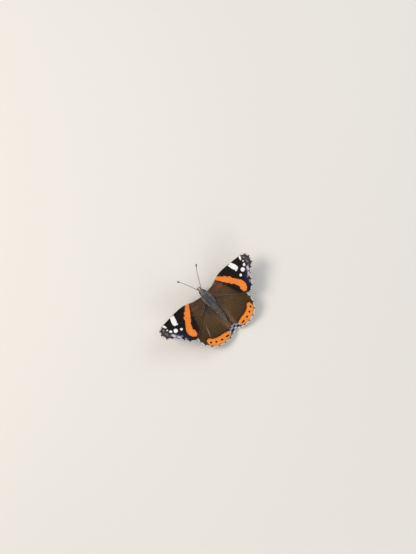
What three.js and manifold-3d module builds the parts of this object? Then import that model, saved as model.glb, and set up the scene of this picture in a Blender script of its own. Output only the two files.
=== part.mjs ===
// A red admiral butterfly at life size, basking with its wings open and standing on its four walking legs.
// Millimetres. X is the insect's right, Y is ahead of its head and Z is up, with its feet at Z = 0.
// The body and the wings are placed from the middle of the thorax, and the legs from the ground.
import * as THREE from "three";
import { mergeVertices } from "three/addons/utils/BufferGeometryUtils.js";
import Module from "manifold-3d";

const wasm = await Module();
wasm.setup();

// Sizes of the whole insect
const GAP = 0.3; // between two pieces that meet
const BODY_HEIGHT = 5.6; // from the ground to the middle of the thorax
const BODY_PITCH = 5; // degrees that the head is held above the tail
const SIDES = { left: -1, right: 1 };

// The thorax, the abdomen and the head
const THORAX = { length: 7.4, width: 4.5, above: 2.3, below: 2.45, fullness: 0.5 };
const ABDOMEN = { start: -2.5, length: 12.2, width: 3.5, height: 3.3, drop: 0.7, bend: -0.5 };
const ABDOMEN_RINGS = { count: 8, groove: 0.14 };
const HEAD = { middle: 4.75, length: 2.9, width: 2.7, height: 3.0, drop: 0.25 };
const EYE = { out: 0.98, ahead: 5.05, drop: 0.2, thick: 0.78, long: 1.02, high: 1.12 };
const PALP = { radius: 0.42, start: [0.62, 5.2, -1.25], bend: [0.62, 6.9, -1.15], tip: [0.48, 8.1, -0.35] };
const TONGUE = { ahead: 5.05, up: -2.75, outer: 1.0, inner: 0.24, turns: 1.35, radius: 0.24 };
const ANTENNA = { root: [0.5, 5.7, 0.75], length: 14.6, shaft: 0.25 };
const ANTENNA_TURN = { left: { spread: 24, rise: 29 }, right: { spread: 30.5, rise: 16 } };
const ANTENNA_CLUB = { radius: 0.47, share: 0.2 };

// The wings
const WING = { thickness: 0.5, rim: 0.34, hinge: 2.0, dihedral: 10, scallop: 0.1 };
const RIDGE = { height: 0.16, half: 0.24, below: 0.6, cross: 0.6 }; // the last two are shares of the height
const FOREWING_LIFT = 1.15; // between the middle surfaces of the fore and the hind wing, one over the other
const FOREWING_HEIGHT = 0.95; // of the fore wing's hinge above the middle of the thorax
const HINDWING_SPREAD = { left: 1, right: 0.94 }; // share of its full width each hind wing opens to
const ARCH = { rise: 1.0, span: 34, curl: 0.003, curlFrom: -3, fold: 0.12, foldFrom: 3 };

// Each vein has its name, its points at four shares of its length, given outwards and ahead, and the share
// at which its ridge leaves the stem or the cell.
const STATIONS = [0, 0.4, 0.72, 1];
const FOREWING = {
  rows: [0, 0.09, 0.2, 0.31, 0.41, 0.47, 0.5, 0.53, 0.62, 0.72, 0.82, 0.92, 1],
  crossRow: 0.5,
  crossVeins: ["R5", "M1", "M2", "M3"],
  lead: [[1.5, 3.0], [5.6, 3.75], [8.9, 4.85], [12.0, 5.95]],
  veins: [
    ["Sc", [[1.5, 2.75], [7.2, 3.65], [11.6, 5.0], [16.0, 6.5]], 0],
    ["R1", [[1.5, 2.55], [8.8, 3.6], [14.4, 4.9], [20.2, 6.45]], 0.5],
    ["R2", [[1.5, 2.4], [10.0, 3.5], [16.8, 4.75], [23.6, 6.2]], 0.6],
    ["R3", [[1.5, 2.25], [11.3, 3.35], [20.0, 4.45], [28.6, 5.8]], 0.72],
    ["R4", [[1.5, 2.1], [12.0, 3.1], [21.6, 3.75], [31.1, 4.5]], 0.82],
    ["R5", [[1.5, 1.95], [12.4, 2.8], [22.2, 2.95], [31.9, 2.4]], 0],
    ["M1", [[1.5, 1.7], [12.6, 2.3], [22.0, 1.3], [31.0, -1.0]], 0.5],
    ["M2", [[1.5, 1.4], [12.4, 1.1], [20.8, -0.4], [28.6, -2.6]], 0.5],
    ["M3", [[1.5, 1.1], [11.8, -0.4], [19.3, -2.2], [26.3, -4.7]], 0],
    ["CuA1", [[1.5, 0.85], [11.0, -1.4], [17.9, -4.2], [24.4, -7.4]], 0.35],
    ["CuA2", [[1.5, 0.6], [9.8, -2.6], [16.2, -6.2], [22.7, -10.1]], 0.24],
    ["2A", [[1.5, 0.3], [8.6, -3.5], [14.4, -7.7], [20.3, -11.35]], 0],
  ],
  trail: [[1.5, -0.1], [7.9, -3.95], [13.6, -8.4], [19.5, -11.75]],
};
const HINDWING = {
  rows: [0, 0.1, 0.2, 0.3, 0.38, 0.42, 0.46, 0.55, 0.64, 0.73, 0.82, 0.91, 1],
  crossRow: 0.42,
  crossVeins: ["Rs", "M1", "M2", "M3"],
  lead: [[1.4, -0.9], [6.0, -1.7], [10.4, -3.4], [14.2, -5.9]],
  veins: [
    ["ScR1", [[1.4, -1.2], [7.2, -3.3], [12.9, -6.6], [18.5, -11.4]], 0],
    ["Rs", [[1.4, -1.45], [7.4, -4.6], [13.0, -8.9], [18.7, -14.0]], 0],
    ["M1", [[1.4, -1.7], [7.1, -5.8], [12.3, -11.2], [18.0, -17.0]], 0.42],
    ["M2", [[1.4, -1.95], [6.7, -6.8], [11.2, -13.2], [15.8, -20.2]], 0.42],
    ["M3", [[1.4, -2.15], [6.1, -7.6], [9.5, -14.8], [12.4, -22.5]], 0],
    ["CuA1", [[1.4, -2.35], [5.3, -8.2], [7.4, -15.7], [8.7, -23.3]], 0.34],
    ["CuA2", [[1.4, -2.55], [4.3, -8.6], [5.2, -15.9], [4.9, -23.6]], 0.22],
    ["2A", [[1.4, -2.75], [3.2, -8.8], [3.1, -15.6], [2.4, -22.9]], 0],
    ["3A", [[1.4, -2.95], [2.3, -8.4], [1.6, -14.8], [0.8, -22.0]], 0],
  ],
  trail: [[1.4, -3.2], [1.1, -7.8], [0.0, -13.8], [-0.35, -20.8]],
};

// The legs, from the ground: out from the middle, ahead of the thorax's middle, up
const LEGS = {
  mid: { hip: [1.0, 0.5, 4.0], knee: [4.6, 2.0, 4.9], ankle: [7.0, 2.6, 0.75], toe: [10.6, 3.9, 0.2] },
  hind: { hip: [1.0, -1.9, 4.0], knee: [4.2, -4.7, 4.3], ankle: [6.2, -7.8, 0.75], toe: [8.6, -11.0, 0.2] },
};
const FORE_LEG = { hip: [1.0, 2.2, 4.2], knee: [1.75, 3.2, 2.6], toe: [1.25, 5.3, 3.05] };
const LEG_RADIUS = { femur: 0.44, tibia: 0.34, tarsus: 0.3, tip: 0.25, tarsusRings: 5 };

const UPWARDS = new THREE.Vector3(0, 0, 1);
const COLOURS = {
  wing: new THREE.MeshStandardMaterial({ color: 0x4a3626, roughness: 0.85 }),
  fur: new THREE.MeshStandardMaterial({ color: 0x4d4a44, roughness: 0.9 }),
  eye: new THREE.MeshStandardMaterial({ color: 0x2a1d18, roughness: 0.35 }),
  horn: new THREE.MeshStandardMaterial({ color: 0x2b2622, roughness: 0.5 }),
  leg: new THREE.MeshStandardMaterial({ color: 0x8a7158, roughness: 0.7 }),
};

// A closed tube along a curve. At each share of the way sizeAt gives its half width and its height both
// ways. The ends close in a point, moved on by grow, and every size grows by grow too. Nothing is below floor.
function tube(curve, shares, sizeAt, { sides = 12, grow = 0, up = UPWARDS, floor = -Infinity } = {}) {
  const points = [];
  const triangles = [];
  const first = curve.getPointAt(0).addScaledVector(curve.getTangentAt(0), -grow);
  const last = curve.getPointAt(1).addScaledVector(curve.getTangentAt(1), grow);
  const settle = (point) => points.push(point.x, point.y, Math.max(point.z, floor));
  settle(first);
  for (const share of shares) {
    const middle = curve.getPointAt(share);
    const along = curve.getTangentAt(share);
    const side = along.clone().cross(up).normalize();
    const rise = side.clone().cross(along).normalize();
    const size = sizeAt(share);
    for (let k = 0; k < sides; k++) {
      const angle = (2 * Math.PI * (k + 0.5)) / sides;
      const lift = Math.sin(angle);
      const reach = (lift > 0 ? size.above : size.below) + grow;
      const across = Math.cos(angle) * (size.half + grow);
      settle(middle.clone().addScaledVector(side, across).addScaledVector(rise, lift * reach));
    }
  }
  settle(last);
  const end = 1 + shares.length * sides;
  for (let k = 0; k < sides; k++) {
    const next = (k + 1) % sides;
    triangles.push(0, 1 + k, 1 + next);
    for (let ring = 0; ring < shares.length - 1; ring++) {
      const a = 1 + ring * sides;
      const b = a + sides;
      triangles.push(a + k, b + k, b + next, a + k, b + next, a + next);
    }
    const rim = end - sides;
    triangles.push(end, rim + next, rim + k);
  }
  return outwards(points, triangles);
}

// The geometry of a closed surface, with its faces turned outwards.
function outwards(points, triangles) {
  const corner = (index) => new THREE.Vector3().fromArray(points, 3 * index);
  let volume = 0;
  for (let k = 0; k < triangles.length; k += 3) {
    volume += corner(triangles[k]).dot(corner(triangles[k + 1]).cross(corner(triangles[k + 2])));
  }
  const order = volume < 0 ? [...triangles].reverse() : triangles;
  return new THREE.BufferGeometry()
    .setAttribute("position", new THREE.Float32BufferAttribute(points, 3))
    .setIndex(order);
}

// Shares of the way from 0 to 1, both left out, closer together near the ends so that they come out round.
function roundShares(count) {
  return Array.from({ length: count }, (_, k) => (1 - Math.cos((Math.PI * (k + 1)) / (count + 1))) / 2);
}

// A point given outwards, ahead and up, on one side of the body.
function onSide(side, [out, ahead, up]) {
  return new THREE.Vector3(side * out, ahead, up);
}

// A straight line through two points, or a smooth one through more.
function line(...points) {
  return points.length === 2
    ? new THREE.LineCurve3(...points)
    : new THREE.CatmullRomCurve3(points, false, "centripetal");
}

const evenSize = (size) => ({ half: size, above: size, below: size });

function thorax(grow = 0) {
  const half = THORAX.length / 2;
  const curve = line(onSide(1, [0, half, -0.1]), onSide(1, [0, 0, 0.1]), onSide(1, [0, -half, -0.1]));
  const sizeAt = (share) => {
    const swell = Math.sin(Math.PI * share) ** THORAX.fullness;
    return { half: (THORAX.width / 2) * swell, above: THORAX.above * swell, below: THORAX.below * swell };
  };
  return tube(curve, roundShares(11), sizeAt, { sides: 22, grow });
}

// The abdomen swells behind the waist and narrows to the tip, with a groove between each two of its rings.
function abdomen(grow = 0) {
  const { start, length, drop, bend } = ABDOMEN;
  const { count, groove } = ABDOMEN_RINGS;
  const curve = line(
    new THREE.Vector3(0, start, 0.1),
    new THREE.Vector3(bend * 0.25, start - length * 0.5, 0),
    new THREE.Vector3(bend, start - length, -drop),
  );
  const shares = [0.03];
  for (let ring = 0; ring < count; ring++) {
    const from = 0.08 + (0.88 * ring) / count;
    shares.push(from, from + 0.3 / count, from + 0.7 / count);
  }
  shares.push(0.985);
  const sizeAt = (share) => {
    const swell = Math.sin(Math.PI * share ** 0.8) ** 0.55;
    const ring = ((share - 0.08) * count) / 0.88;
    const nick = grow === 0 && Math.abs(ring - Math.round(ring)) < 1e-6 ? groove : 0;
    const rise = (ABDOMEN.height / 2) * swell - nick;
    return { half: (ABDOMEN.width / 2) * swell - nick, above: rise, below: rise };
  };
  return tube(curve, shares, sizeAt, { sides: 18, grow });
}

function head(grow = 0) {
  const half = HEAD.length / 2;
  const curve = line(
    new THREE.Vector3(0, HEAD.middle + half, -HEAD.drop),
    new THREE.Vector3(0, HEAD.middle - half, -HEAD.drop),
  );
  const sizeAt = (share) => {
    const swell = Math.sin(Math.PI * share) ** 0.5;
    const rise = (HEAD.height / 2) * swell;
    return { half: (HEAD.width / 2) * swell, above: rise, below: rise };
  };
  return tube(curve, roundShares(8), sizeAt, { sides: 16, grow });
}

function eye(side, grow = 0) {
  return new THREE.SphereGeometry(1, 16, 12)
    .scale(EYE.thick + grow, EYE.long + grow, EYE.high + grow)
    .translate(side * EYE.out, EYE.ahead, -EYE.drop);
}

function palp(side, grow = 0) {
  const curve = line(...[PALP.start, PALP.bend, PALP.tip].map((point) => onSide(side, point)));
  const sizeAt = (share) => evenSize(PALP.radius * Math.sin(Math.PI * (0.12 + 0.83 * share)) ** 0.5);
  return tube(curve, roundShares(8), sizeAt, { sides: 10, grow });
}

// The tongue is coiled like a watch spring under the head, and its outer end goes up into it.
function tongue() {
  const { ahead, up, outer, inner, turns } = TONGUE;
  const points = [new THREE.Vector3(0, ahead + 0.35, up + outer + 0.9)];
  const count = 14;
  for (let k = 0; k <= count; k++) {
    const share = k / count;
    const angle = Math.PI * (0.42 - 2 * turns * share);
    const radius = outer + (inner - outer) * share;
    points.push(new THREE.Vector3(0, ahead + radius * Math.cos(angle), up + radius * Math.sin(angle)));
  }
  const shares = Array.from({ length: 26 }, (_, k) => (k + 0.5) / 26);
  const sizeAt = (share) => evenSize(TONGUE.radius * (1 - 0.25 * share));
  return tube(line(...points), shares, sizeAt, { sides: 8, up: new THREE.Vector3(1, 0, 0) });
}

// An antenna is a thin rod, a little curved, that ends in a flattened club.
function antenna(side, { spread, rise }) {
  const { root, length, shaft } = ANTENNA;
  const club = ANTENNA_CLUB;
  const turn = THREE.MathUtils.degToRad(spread);
  const lift = THREE.MathUtils.degToRad(rise);
  const along = onSide(side, [Math.sin(turn), Math.cos(turn), Math.sin(lift)]).normalize();
  const reach = (share, sway) =>
    onSide(side, root).addScaledVector(along, length * share).add(onSide(side, [-sway, sway, sway]));
  const curve = line(reach(-0.05, 0), reach(0.35, 0.25), reach(0.7, 0.3), reach(1, 0));
  const shares = [0.004, 0.04, 0.2, 0.4, 0.6, 0.74, 0.8, 0.84, 0.88, 0.92, 0.96, 0.985];
  const sizeAt = (share) => {
    const inClub = Math.max(0, (share - (1 - club.share)) / club.share);
    return evenSize(shaft + (club.radius - shaft) * Math.sin(Math.PI * inClub ** 1.4) ** 0.7);
  };
  return tube(curve, shares, sizeAt, { sides: 8 });
}

// One vein or edge of a wing: the point on it at a share of its length.
function veinPoint(stations, share) {
  const last = STATIONS.length - 1;
  let k = 0;
  while (k < last - 1 && share > STATIONS[k + 1]) k++;
  const t = (share - STATIONS[k]) / (STATIONS[k + 1] - STATIONS[k]);
  const slope = (index, axis) => {
    const from = Math.max(0, index - 1);
    const to = Math.min(last, index + 1);
    return (stations[to][axis] - stations[from][axis]) / (STATIONS[to] - STATIONS[from]);
  };
  const span = STATIONS[k + 1] - STATIONS[k];
  return [0, 1].map((axis) => {
    const a = stations[k][axis];
    const b = stations[k + 1][axis];
    const startSlope = slope(k, axis) * span;
    const endSlope = slope(k + 1, axis) * span;
    const fromStart = a * (1 + 2 * t) * (1 - t) ** 2 + startSlope * t * (1 - t) ** 2;
    const fromEnd = b * t ** 2 * (3 - 2 * t) + endSlope * t ** 2 * (t - 1);
    return fromStart + fromEnd;
  });
}

// Height of a wing's middle surface over its flat plane. It is arched along its span, curled down at its
// edges, and folded down beside the body.
function archAt(out, ahead) {
  const along = Math.min(1, Math.max(0, (out - WING.hinge) / ARCH.span));
  const curled = ARCH.curl * (ahead - ARCH.curlFrom) ** 2;
  const folded = ARCH.fold * Math.max(0, ARCH.foldFrom - out) ** 2;
  return ARCH.rise * Math.sin(Math.PI * along) - curled - folded;
}

// The lines that run from the root of a wing to its margin. Each vein is a crest between two feet. A line runs
// down the middle of each wide cell, drawn in at the margin so that the edge is scalloped.
function wingLines(wing) {
  const between = (a, b, share) => a.map((value, axis) => value + (b[axis] - value) * share);
  const distance = (a, b) => Math.hypot(a[0] - b[0], a[1] - b[1]);
  const all = [["lead", wing.lead, 2], ...wing.veins, ["trail", wing.trail, 2]];
  const veins = all.map(([name, stations, from]) => ({
    name,
    points: wing.rows.map((share) => veinPoint(stations, share)),
    height: wing.rows.map((share) => (share >= from ? 1 : 0)),
  }));
  // The vein that closes the cell runs across the lines at one row.
  const crossing = (a, b) => {
    const crosses = wing.crossVeins.includes(a.name) && wing.crossVeins.includes(b.name);
    return wing.rows.map((share) => (crosses && share === wing.crossRow ? RIDGE.cross : 0));
  };
  const lines = [];
  veins.forEach((vein, index) => {
    const before = veins[index - 1];
    const after = veins[index + 1];
    const foot = (other) => ({
      points: vein.points.map((point, k) => {
        const room = distance(point, other.points[k]);
        return between(point, other.points[k], Math.min(RIDGE.half / room, 0.3));
      }),
      height: crossing(vein, other),
    });
    if (before) lines.push(foot(before));
    lines.push(vein);
    if (!after) return;
    lines.push(foot(after));
    const end = wing.rows.length - 1;
    if (distance(vein.points[end], after.points[end]) < 2.2) return;
    const middle = vein.points.map((point, k) => between(point, after.points[k], 0.5));
    middle[end] = between(middle[end], middle[end - 1], WING.scallop);
    lines.push({ points: middle, height: crossing(vein, after) });
  });
  return lines;
}

// A wing as one closed sheet. Its two faces are split into triangles alike, and the veins stand up on both.
function wingSheet(wing, side, lift, spread) {
  const lines = wingLines(wing);
  const rows = wing.rows.length;
  const points = [];
  for (const face of [1, -1]) {
    lines.forEach((each, column) => {
      each.points.forEach(([out, ahead], k) => {
        const atRim = column === 0 || column === lines.length - 1 || k === rows - 1;
        const half = (atRim ? WING.rim : WING.thickness) / 2;
        const ridge = RIDGE.height * each.height[k] * (face > 0 ? 1 : RIDGE.below) * (atRim ? 0.6 : 1);
        const up = archAt(out, ahead) + lift + face * (half + ridge);
        points.push(side * (out - WING.hinge) * spread, ahead, up);
      });
    });
  }
  const triangles = [];
  const under = lines.length * rows;
  const quad = (a, b, c, d) => triangles.push(a, b, c, a, c, d);
  for (let column = 0; column < lines.length - 1; column++) {
    for (let k = 0; k < rows - 1; k++) {
      const a = column * rows + k;
      const [b, c, d] = [a + 1, a + rows + 1, a + rows];
      quad(a, b, c, d);
      triangles.push(under + a, under + c, under + b, under + a, under + d, under + c);
    }
  }
  const rim = [];
  for (let k = 0; k < rows - 1; k++) rim.push(k);
  for (let column = 0; column < lines.length - 1; column++) rim.push(column * rows + rows - 1);
  for (let k = rows - 1; k > 0; k--) rim.push((lines.length - 1) * rows + k);
  for (let column = lines.length - 1; column > 0; column--) rim.push(column * rows);
  rim.forEach((a, index) => {
    const b = rim[(index + 1) % rim.length];
    quad(a, under + a, under + b, b);
  });
  return outwards(points, triangles);
}

// A thigh or a shin: thickest a third of the way along, and round at both ends.
function legRod(side, from, to, radius, grow = 0) {
  const sizeAt = (share) => evenSize(radius * (0.76 + 0.24 * Math.sin(Math.PI * share ** 0.8)));
  const shares = [0.02, 0.1, 0.3, 0.6, 0.9, 0.98];
  return tube(line(onSide(side, from), onSide(side, to)), shares, sizeAt, { sides: 8, grow });
}

// A foot of five rings that lies along the ground, flat underneath.
function legFoot(side, from, to) {
  const start = [from[0], from[1], to[2]];
  const shares = [0.01];
  for (let ring = 0; ring < LEG_RADIUS.tarsusRings; ring++) {
    shares.push((ring + 0.12) / LEG_RADIUS.tarsusRings, (ring + 0.88) / LEG_RADIUS.tarsusRings);
  }
  const sizeAt = (share) => {
    const ring = share * LEG_RADIUS.tarsusRings;
    const joint = Math.abs(ring - Math.round(ring)) < 0.2 && ring - Math.floor(ring) < 0.5 ? 0.82 : 1;
    return evenSize((LEG_RADIUS.tarsus + (LEG_RADIUS.tip - LEG_RADIUS.tarsus) * share) * joint);
  };
  return tube(line(onSide(side, start), onSide(side, to)), shares, sizeAt, { sides: 8, floor: 0 });
}

// A three.js geometry as a manifold-3d solid.
function solidOf(geometry) {
  const bare = geometry.clone();
  bare.deleteAttribute("normal");
  bare.deleteAttribute("uv");
  const merged = mergeVertices(bare, 1e-4);
  return new wasm.Manifold(
    new wasm.Mesh({
      numProp: 3,
      vertProperties: new Float32Array(merged.attributes.position.array),
      triVerts: new Uint32Array(merged.index.array),
    }),
  );
}

function geometryOf(solid) {
  const mesh = solid.getMesh();
  return new THREE.BufferGeometry()
    .setAttribute("position", new THREE.Float32BufferAttribute(mesh.vertProperties, 3))
    .setIndex(new THREE.BufferAttribute(mesh.triVerts, 1));
}

// The biggest closed body that is left of a geometry once the others are cut away from it.
function cut(geometry, ...others) {
  const rest = others.reduce((solid, other) => solid.subtract(solidOf(other)), solidOf(geometry));
  const biggest = rest.decompose().reduce((a, b) => (a.volume() > b.volume() ? a : b));
  return geometryOf(biggest);
}

const insect = new THREE.Group();
const body = new THREE.Group();
body.position.z = BODY_HEIGHT;
body.rotation.x = THREE.MathUtils.degToRad(BODY_PITCH);
insect.add(body);
body.updateMatrix();

function addPiece(group, name, geometry, material) {
  const mesh = new THREE.Mesh(geometry, material);
  mesh.name = name;
  group.add(mesh);
}

// A geometry of the body's frame as it lies in another frame.
function seenFrom(geometry, matrix) {
  return geometry.clone().applyMatrix4(matrix.clone().invert());
}

addPiece(body, "thorax", thorax(), COLOURS.fur);
addPiece(body, "abdomen", cut(abdomen(), thorax(GAP)), COLOURS.fur);
addPiece(body, "head", cut(head(), thorax(GAP)), COLOURS.fur);
addPiece(body, "proboscis", cut(tongue(), head(GAP), palp(-1, GAP), palp(1, GAP)), COLOURS.horn);

for (const [sideName, side] of Object.entries(SIDES)) {
  addPiece(body, `eye_${sideName}`, cut(eye(side), head(GAP)), COLOURS.eye);
  addPiece(body, `palp_${sideName}`, cut(palp(side), head(GAP), eye(side, GAP)), COLOURS.fur);
  const feeler = cut(antenna(side, ANTENNA_TURN[sideName]), head(GAP), eye(side, GAP));
  addPiece(body, `antenna_${sideName}`, feeler, COLOURS.horn);

  const wings = new THREE.Group();
  wings.position.set(side * WING.hinge, 0, FOREWING_HEIGHT - FOREWING_LIFT);
  wings.rotation.y = -side * THREE.MathUtils.degToRad(WING.dihedral);
  wings.updateMatrix();
  body.add(wings);
  const trunk = [thorax(GAP), abdomen(GAP)].map((geometry) => seenFrom(geometry, wings.matrix));
  const fore = wingSheet(FOREWING, side, FOREWING_LIFT, 1);
  const hind = wingSheet(HINDWING, side, 0, HINDWING_SPREAD[sideName]);
  addPiece(wings, `forewing_${sideName}`, cut(fore, ...trunk), COLOURS.wing);
  addPiece(wings, `hindwing_${sideName}`, cut(hind, ...trunk), COLOURS.wing);

  const chest = thorax(GAP).applyMatrix4(body.matrix);
  for (const [pair, leg] of Object.entries(LEGS)) {
    const thigh = (grow) => legRod(side, leg.hip, leg.knee, LEG_RADIUS.femur, grow);
    const shin = (grow) => legRod(side, leg.knee, leg.ankle, LEG_RADIUS.tibia, grow);
    addPiece(insect, `${pair}_femur_${sideName}`, cut(thigh(0), chest), COLOURS.leg);
    addPiece(insect, `${pair}_tibia_${sideName}`, cut(shin(0), thigh(GAP)), COLOURS.leg);
    const foot = cut(legFoot(side, leg.ankle, leg.toe), shin(GAP));
    addPiece(insect, `${pair}_tarsus_${sideName}`, foot, COLOURS.leg);
  }
  const upper = (grow) => legRod(side, FORE_LEG.hip, FORE_LEG.knee, LEG_RADIUS.femur, grow);
  const lower = legRod(side, FORE_LEG.knee, FORE_LEG.toe, LEG_RADIUS.tibia);
  const face = [head(GAP), palp(side, GAP)].map((geometry) => geometry.applyMatrix4(body.matrix));
  addPiece(insect, `fore_femur_${sideName}`, cut(upper(0), chest, ...face), COLOURS.leg);
  addPiece(insect, `fore_tibia_${sideName}`, cut(lower, upper(GAP), ...face), COLOURS.leg);
}

// The origin is under the middle of the whole insect, at the level of its feet.
const box = new THREE.Box3().setFromObject(insect, true);
insect.position.set(-(box.min.x + box.max.x) / 2, -(box.min.y + box.max.y) / 2, -box.min.z);
const model = new THREE.Group();
model.add(insect);

export default model;
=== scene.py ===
"""A red admiral butterfly at life size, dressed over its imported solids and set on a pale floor.

Lengths are in millimetres, from the floor for the legs and from the middle of the thorax for the rest,
until each mesh is made in the frame's metres.
"""
import logging
import math
from collections.abc import Callable
from dataclasses import dataclass, field
from enum import Enum
from functools import partial
from typing import ClassVar

import bpy
import numpy as np
from mathutils import Matrix, Vector

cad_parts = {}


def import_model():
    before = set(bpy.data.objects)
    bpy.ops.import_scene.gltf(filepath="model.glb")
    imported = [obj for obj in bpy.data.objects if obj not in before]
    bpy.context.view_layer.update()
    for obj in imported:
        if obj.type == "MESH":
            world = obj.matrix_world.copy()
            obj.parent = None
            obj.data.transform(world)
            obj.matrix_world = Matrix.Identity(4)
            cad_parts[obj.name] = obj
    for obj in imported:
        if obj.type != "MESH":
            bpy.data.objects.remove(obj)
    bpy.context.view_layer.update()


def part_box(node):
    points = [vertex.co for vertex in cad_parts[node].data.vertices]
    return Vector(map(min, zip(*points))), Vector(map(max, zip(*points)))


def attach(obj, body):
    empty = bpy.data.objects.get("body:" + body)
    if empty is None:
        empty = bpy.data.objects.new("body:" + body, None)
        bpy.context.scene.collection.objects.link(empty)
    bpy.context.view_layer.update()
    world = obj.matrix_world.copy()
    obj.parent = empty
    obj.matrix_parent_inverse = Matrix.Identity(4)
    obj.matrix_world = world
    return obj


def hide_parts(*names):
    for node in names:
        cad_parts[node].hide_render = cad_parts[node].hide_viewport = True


LOG = logging.getLogger("red_admiral")
MM = 0.001
ROOT = "root"
# Numbers of a Map Range node's inputs, of a Mix node's inputs and output for colours, and of the scale of
# a Vector Math node.
VALUE, FROM_LOW, FROM_HIGH, TO_LOW, TO_HIGH = range(5)
SHARE, FIRST, SECOND, MIXED = 0, 6, 7, 2
FACTOR = 3

Array = np.ndarray
Mesh = tuple[Array, Array]  # corners, one a row, and triangles
Random = np.random.Generator
Material = bpy.types.Material
Piece = bpy.types.Object
Node = bpy.types.Node
Socket = bpy.types.NodeSocket
AddNode = Callable[..., Socket]
Stroke = tuple[tuple[float, float, float], ...]
Strokes = tuple[Stroke, ...]


class Side(Enum):
    """A side of the insect, with the sign of its X."""

    LEFT = -1
    RIGHT = 1

    @property
    def word(self) -> str:
        """The side as the end of a node's name."""
        return self.name.lower()


class Pair(Enum):
    """A pair of wings."""

    FORE = "forewing"
    HIND = "hindwing"


def linear(hex_colour: str) -> tuple[float, float, float, float]:
    """Turn an sRGB hex colour into Blender's linear colour.

    Args:
        hex_colour: Six hex digits.

    Returns:
        Red, green, blue and an alpha of 1.
    """
    parts = [int(hex_colour[k : k + 2], 16) / 255 for k in (0, 2, 4)]
    red, green, blue = [p / 12.92 if p <= 0.04045 else ((p + 0.055) / 1.055) ** 2.4 for p in parts]
    return (red, green, blue, 1.0)


def smooth(value: Array, low: float, high: float) -> Array:
    """Rise smoothly from 0 at low to 1 at high.

    Args:
        value: Where to read the rise.
        low: Where it starts.
        high: Where it ends.

    Returns:
        The rise at each value.
    """
    share = np.clip((np.asarray(value, float) - low) / (high - low), 0.0, 1.0)
    return share * share * (3 - 2 * share)


def curve_through(points: Array, places: Array) -> Array:
    """Read a smooth curve through points, which takes equal time from one point to the next.

    Args:
        points: The points, one a row.
        places: Where to read it, from 0 at the first point to 1 at the last.

    Returns:
        The curve's points, one a row.
    """
    points = np.asarray(points, float)
    padded = np.vstack([2 * points[0] - points[1], points, 2 * points[-1] - points[-2]])
    spot = np.clip(np.asarray(places, float), 0, 1) * (len(points) - 1)
    index = np.minimum(spot.astype(int), len(points) - 2)
    t = (spot - index)[:, None]
    p0, p1, p2, p3 = (padded[index + k] for k in range(4))
    return 0.5 * (
        2 * p1 + (p2 - p0) * t + (2 * p0 - 5 * p1 + 4 * p2 - p3) * t**2 + (3 * p1 - p0 - 3 * p2 + p3) * t**3
    )


def resized(stroke: Stroke, times: float = 1.0, more: float = 0.0) -> Stroke:
    """Give a stroke another width.

    Args:
        stroke: A run of (out, ahead, radius).
        times: What its radius is multiplied by.
        more: What is then added to its radius.

    Returns:
        The new stroke.
    """
    return tuple((out, ahead, radius * times + more) for out, ahead, radius in stroke)


def stroke_field(points: Array, strokes: Strokes) -> Array:
    """Measure how deep points of a plane lie inside brush strokes.

    Args:
        points: Places in the plane, one a row.
        strokes: Each stroke is a run of (out, ahead, radius).

    Returns:
        For each point the depth inside the nearest stroke's edge, negative outside.
    """
    best = np.full(len(points), -50.0)  # far outside
    for stroke in strokes:
        path = np.asarray(stroke, float)
        if len(path) > 2:
            path = curve_through(path, np.linspace(0, 1, 6 * len(path)))
        if len(path) == 1:
            path = np.vstack([path, path + [1e-6, 0, 0]])
        for a, b in zip(path[:-1], path[1:]):
            span = b[:2] - a[:2]
            share = np.clip(((points - a[:2]) @ span) / max(span @ span, 1e-12), 0, 1)
            nearest = a[:2] + share[:, None] * span
            depth = a[2] + share * (b[2] - a[2]) - np.linalg.norm(points - nearest, axis=1)
            best = np.maximum(best, depth)
    return best


def unit(vectors: Array) -> Array:
    """Scale each row to length 1."""
    return vectors / np.maximum(np.linalg.norm(vectors, axis=-1, keepdims=True), 1e-12)


def add_object(name: str, data: bpy.types.ID) -> Piece:
    """Add an object to the scene.

    Args:
        name: Its name.
        data: Its mesh, light or camera.

    Returns:
        The object.
    """
    added = bpy.data.objects.new(name, data)
    bpy.context.scene.collection.objects.link(added)
    return added


def add_piece(
    name: str,
    points: Array,
    faces: Array,
    material: Material,
    fields: dict[str, Array] | None = None,
    bake_map: Array | None = None,
) -> Piece:
    """Make a smooth mesh object that rides on the insect.

    Args:
        name: The piece's name.
        points: Its corners in millimetres of the frame, one a row.
        faces: Its faces, all triangles or all quads.
        material: Its finish.
        fields: Numbers or vectors to store at each corner, by name.
        bake_map: The place on the unwrap of each corner, or of each face's corners in turn.

    Returns:
        The new object.
    """
    mesh = bpy.data.meshes.new(name)
    sides = faces.shape[1]
    mesh.vertices.add(len(points))
    mesh.vertices.foreach_set("co", (np.asarray(points) * MM).astype(np.float32).ravel())
    mesh.loops.add(faces.size)
    mesh.loops.foreach_set("vertex_index", faces.astype(np.int32).ravel())
    mesh.polygons.add(len(faces))
    mesh.polygons.foreach_set("loop_start", np.arange(0, faces.size, sides, dtype=np.int32))
    mesh.update(calc_edges=True)
    mesh.polygons.foreach_set("use_smooth", np.ones(len(faces), dtype=bool))
    for key, values in (fields or {}).items():
        kind, item = ("FLOAT_VECTOR", "vector") if values.ndim == 2 else ("FLOAT", "value")
        layer = mesh.attributes.new(key, kind, "POINT")
        layer.data.foreach_set(item, values.astype(np.float32).ravel())
    if bake_map is not None:
        layer = mesh.uv_layers.new(name="OFBake")
        spots = bake_map if len(bake_map) == faces.size else bake_map[faces.ravel()]
        layer.uv.foreach_set("vector", spots.astype(np.float32).ravel())
    mesh.validate()
    mesh.materials.append(material)
    piece = add_object(name, mesh)
    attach(piece, ROOT)
    LOG.info("%s: %d faces", name, len(faces))
    return piece


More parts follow.
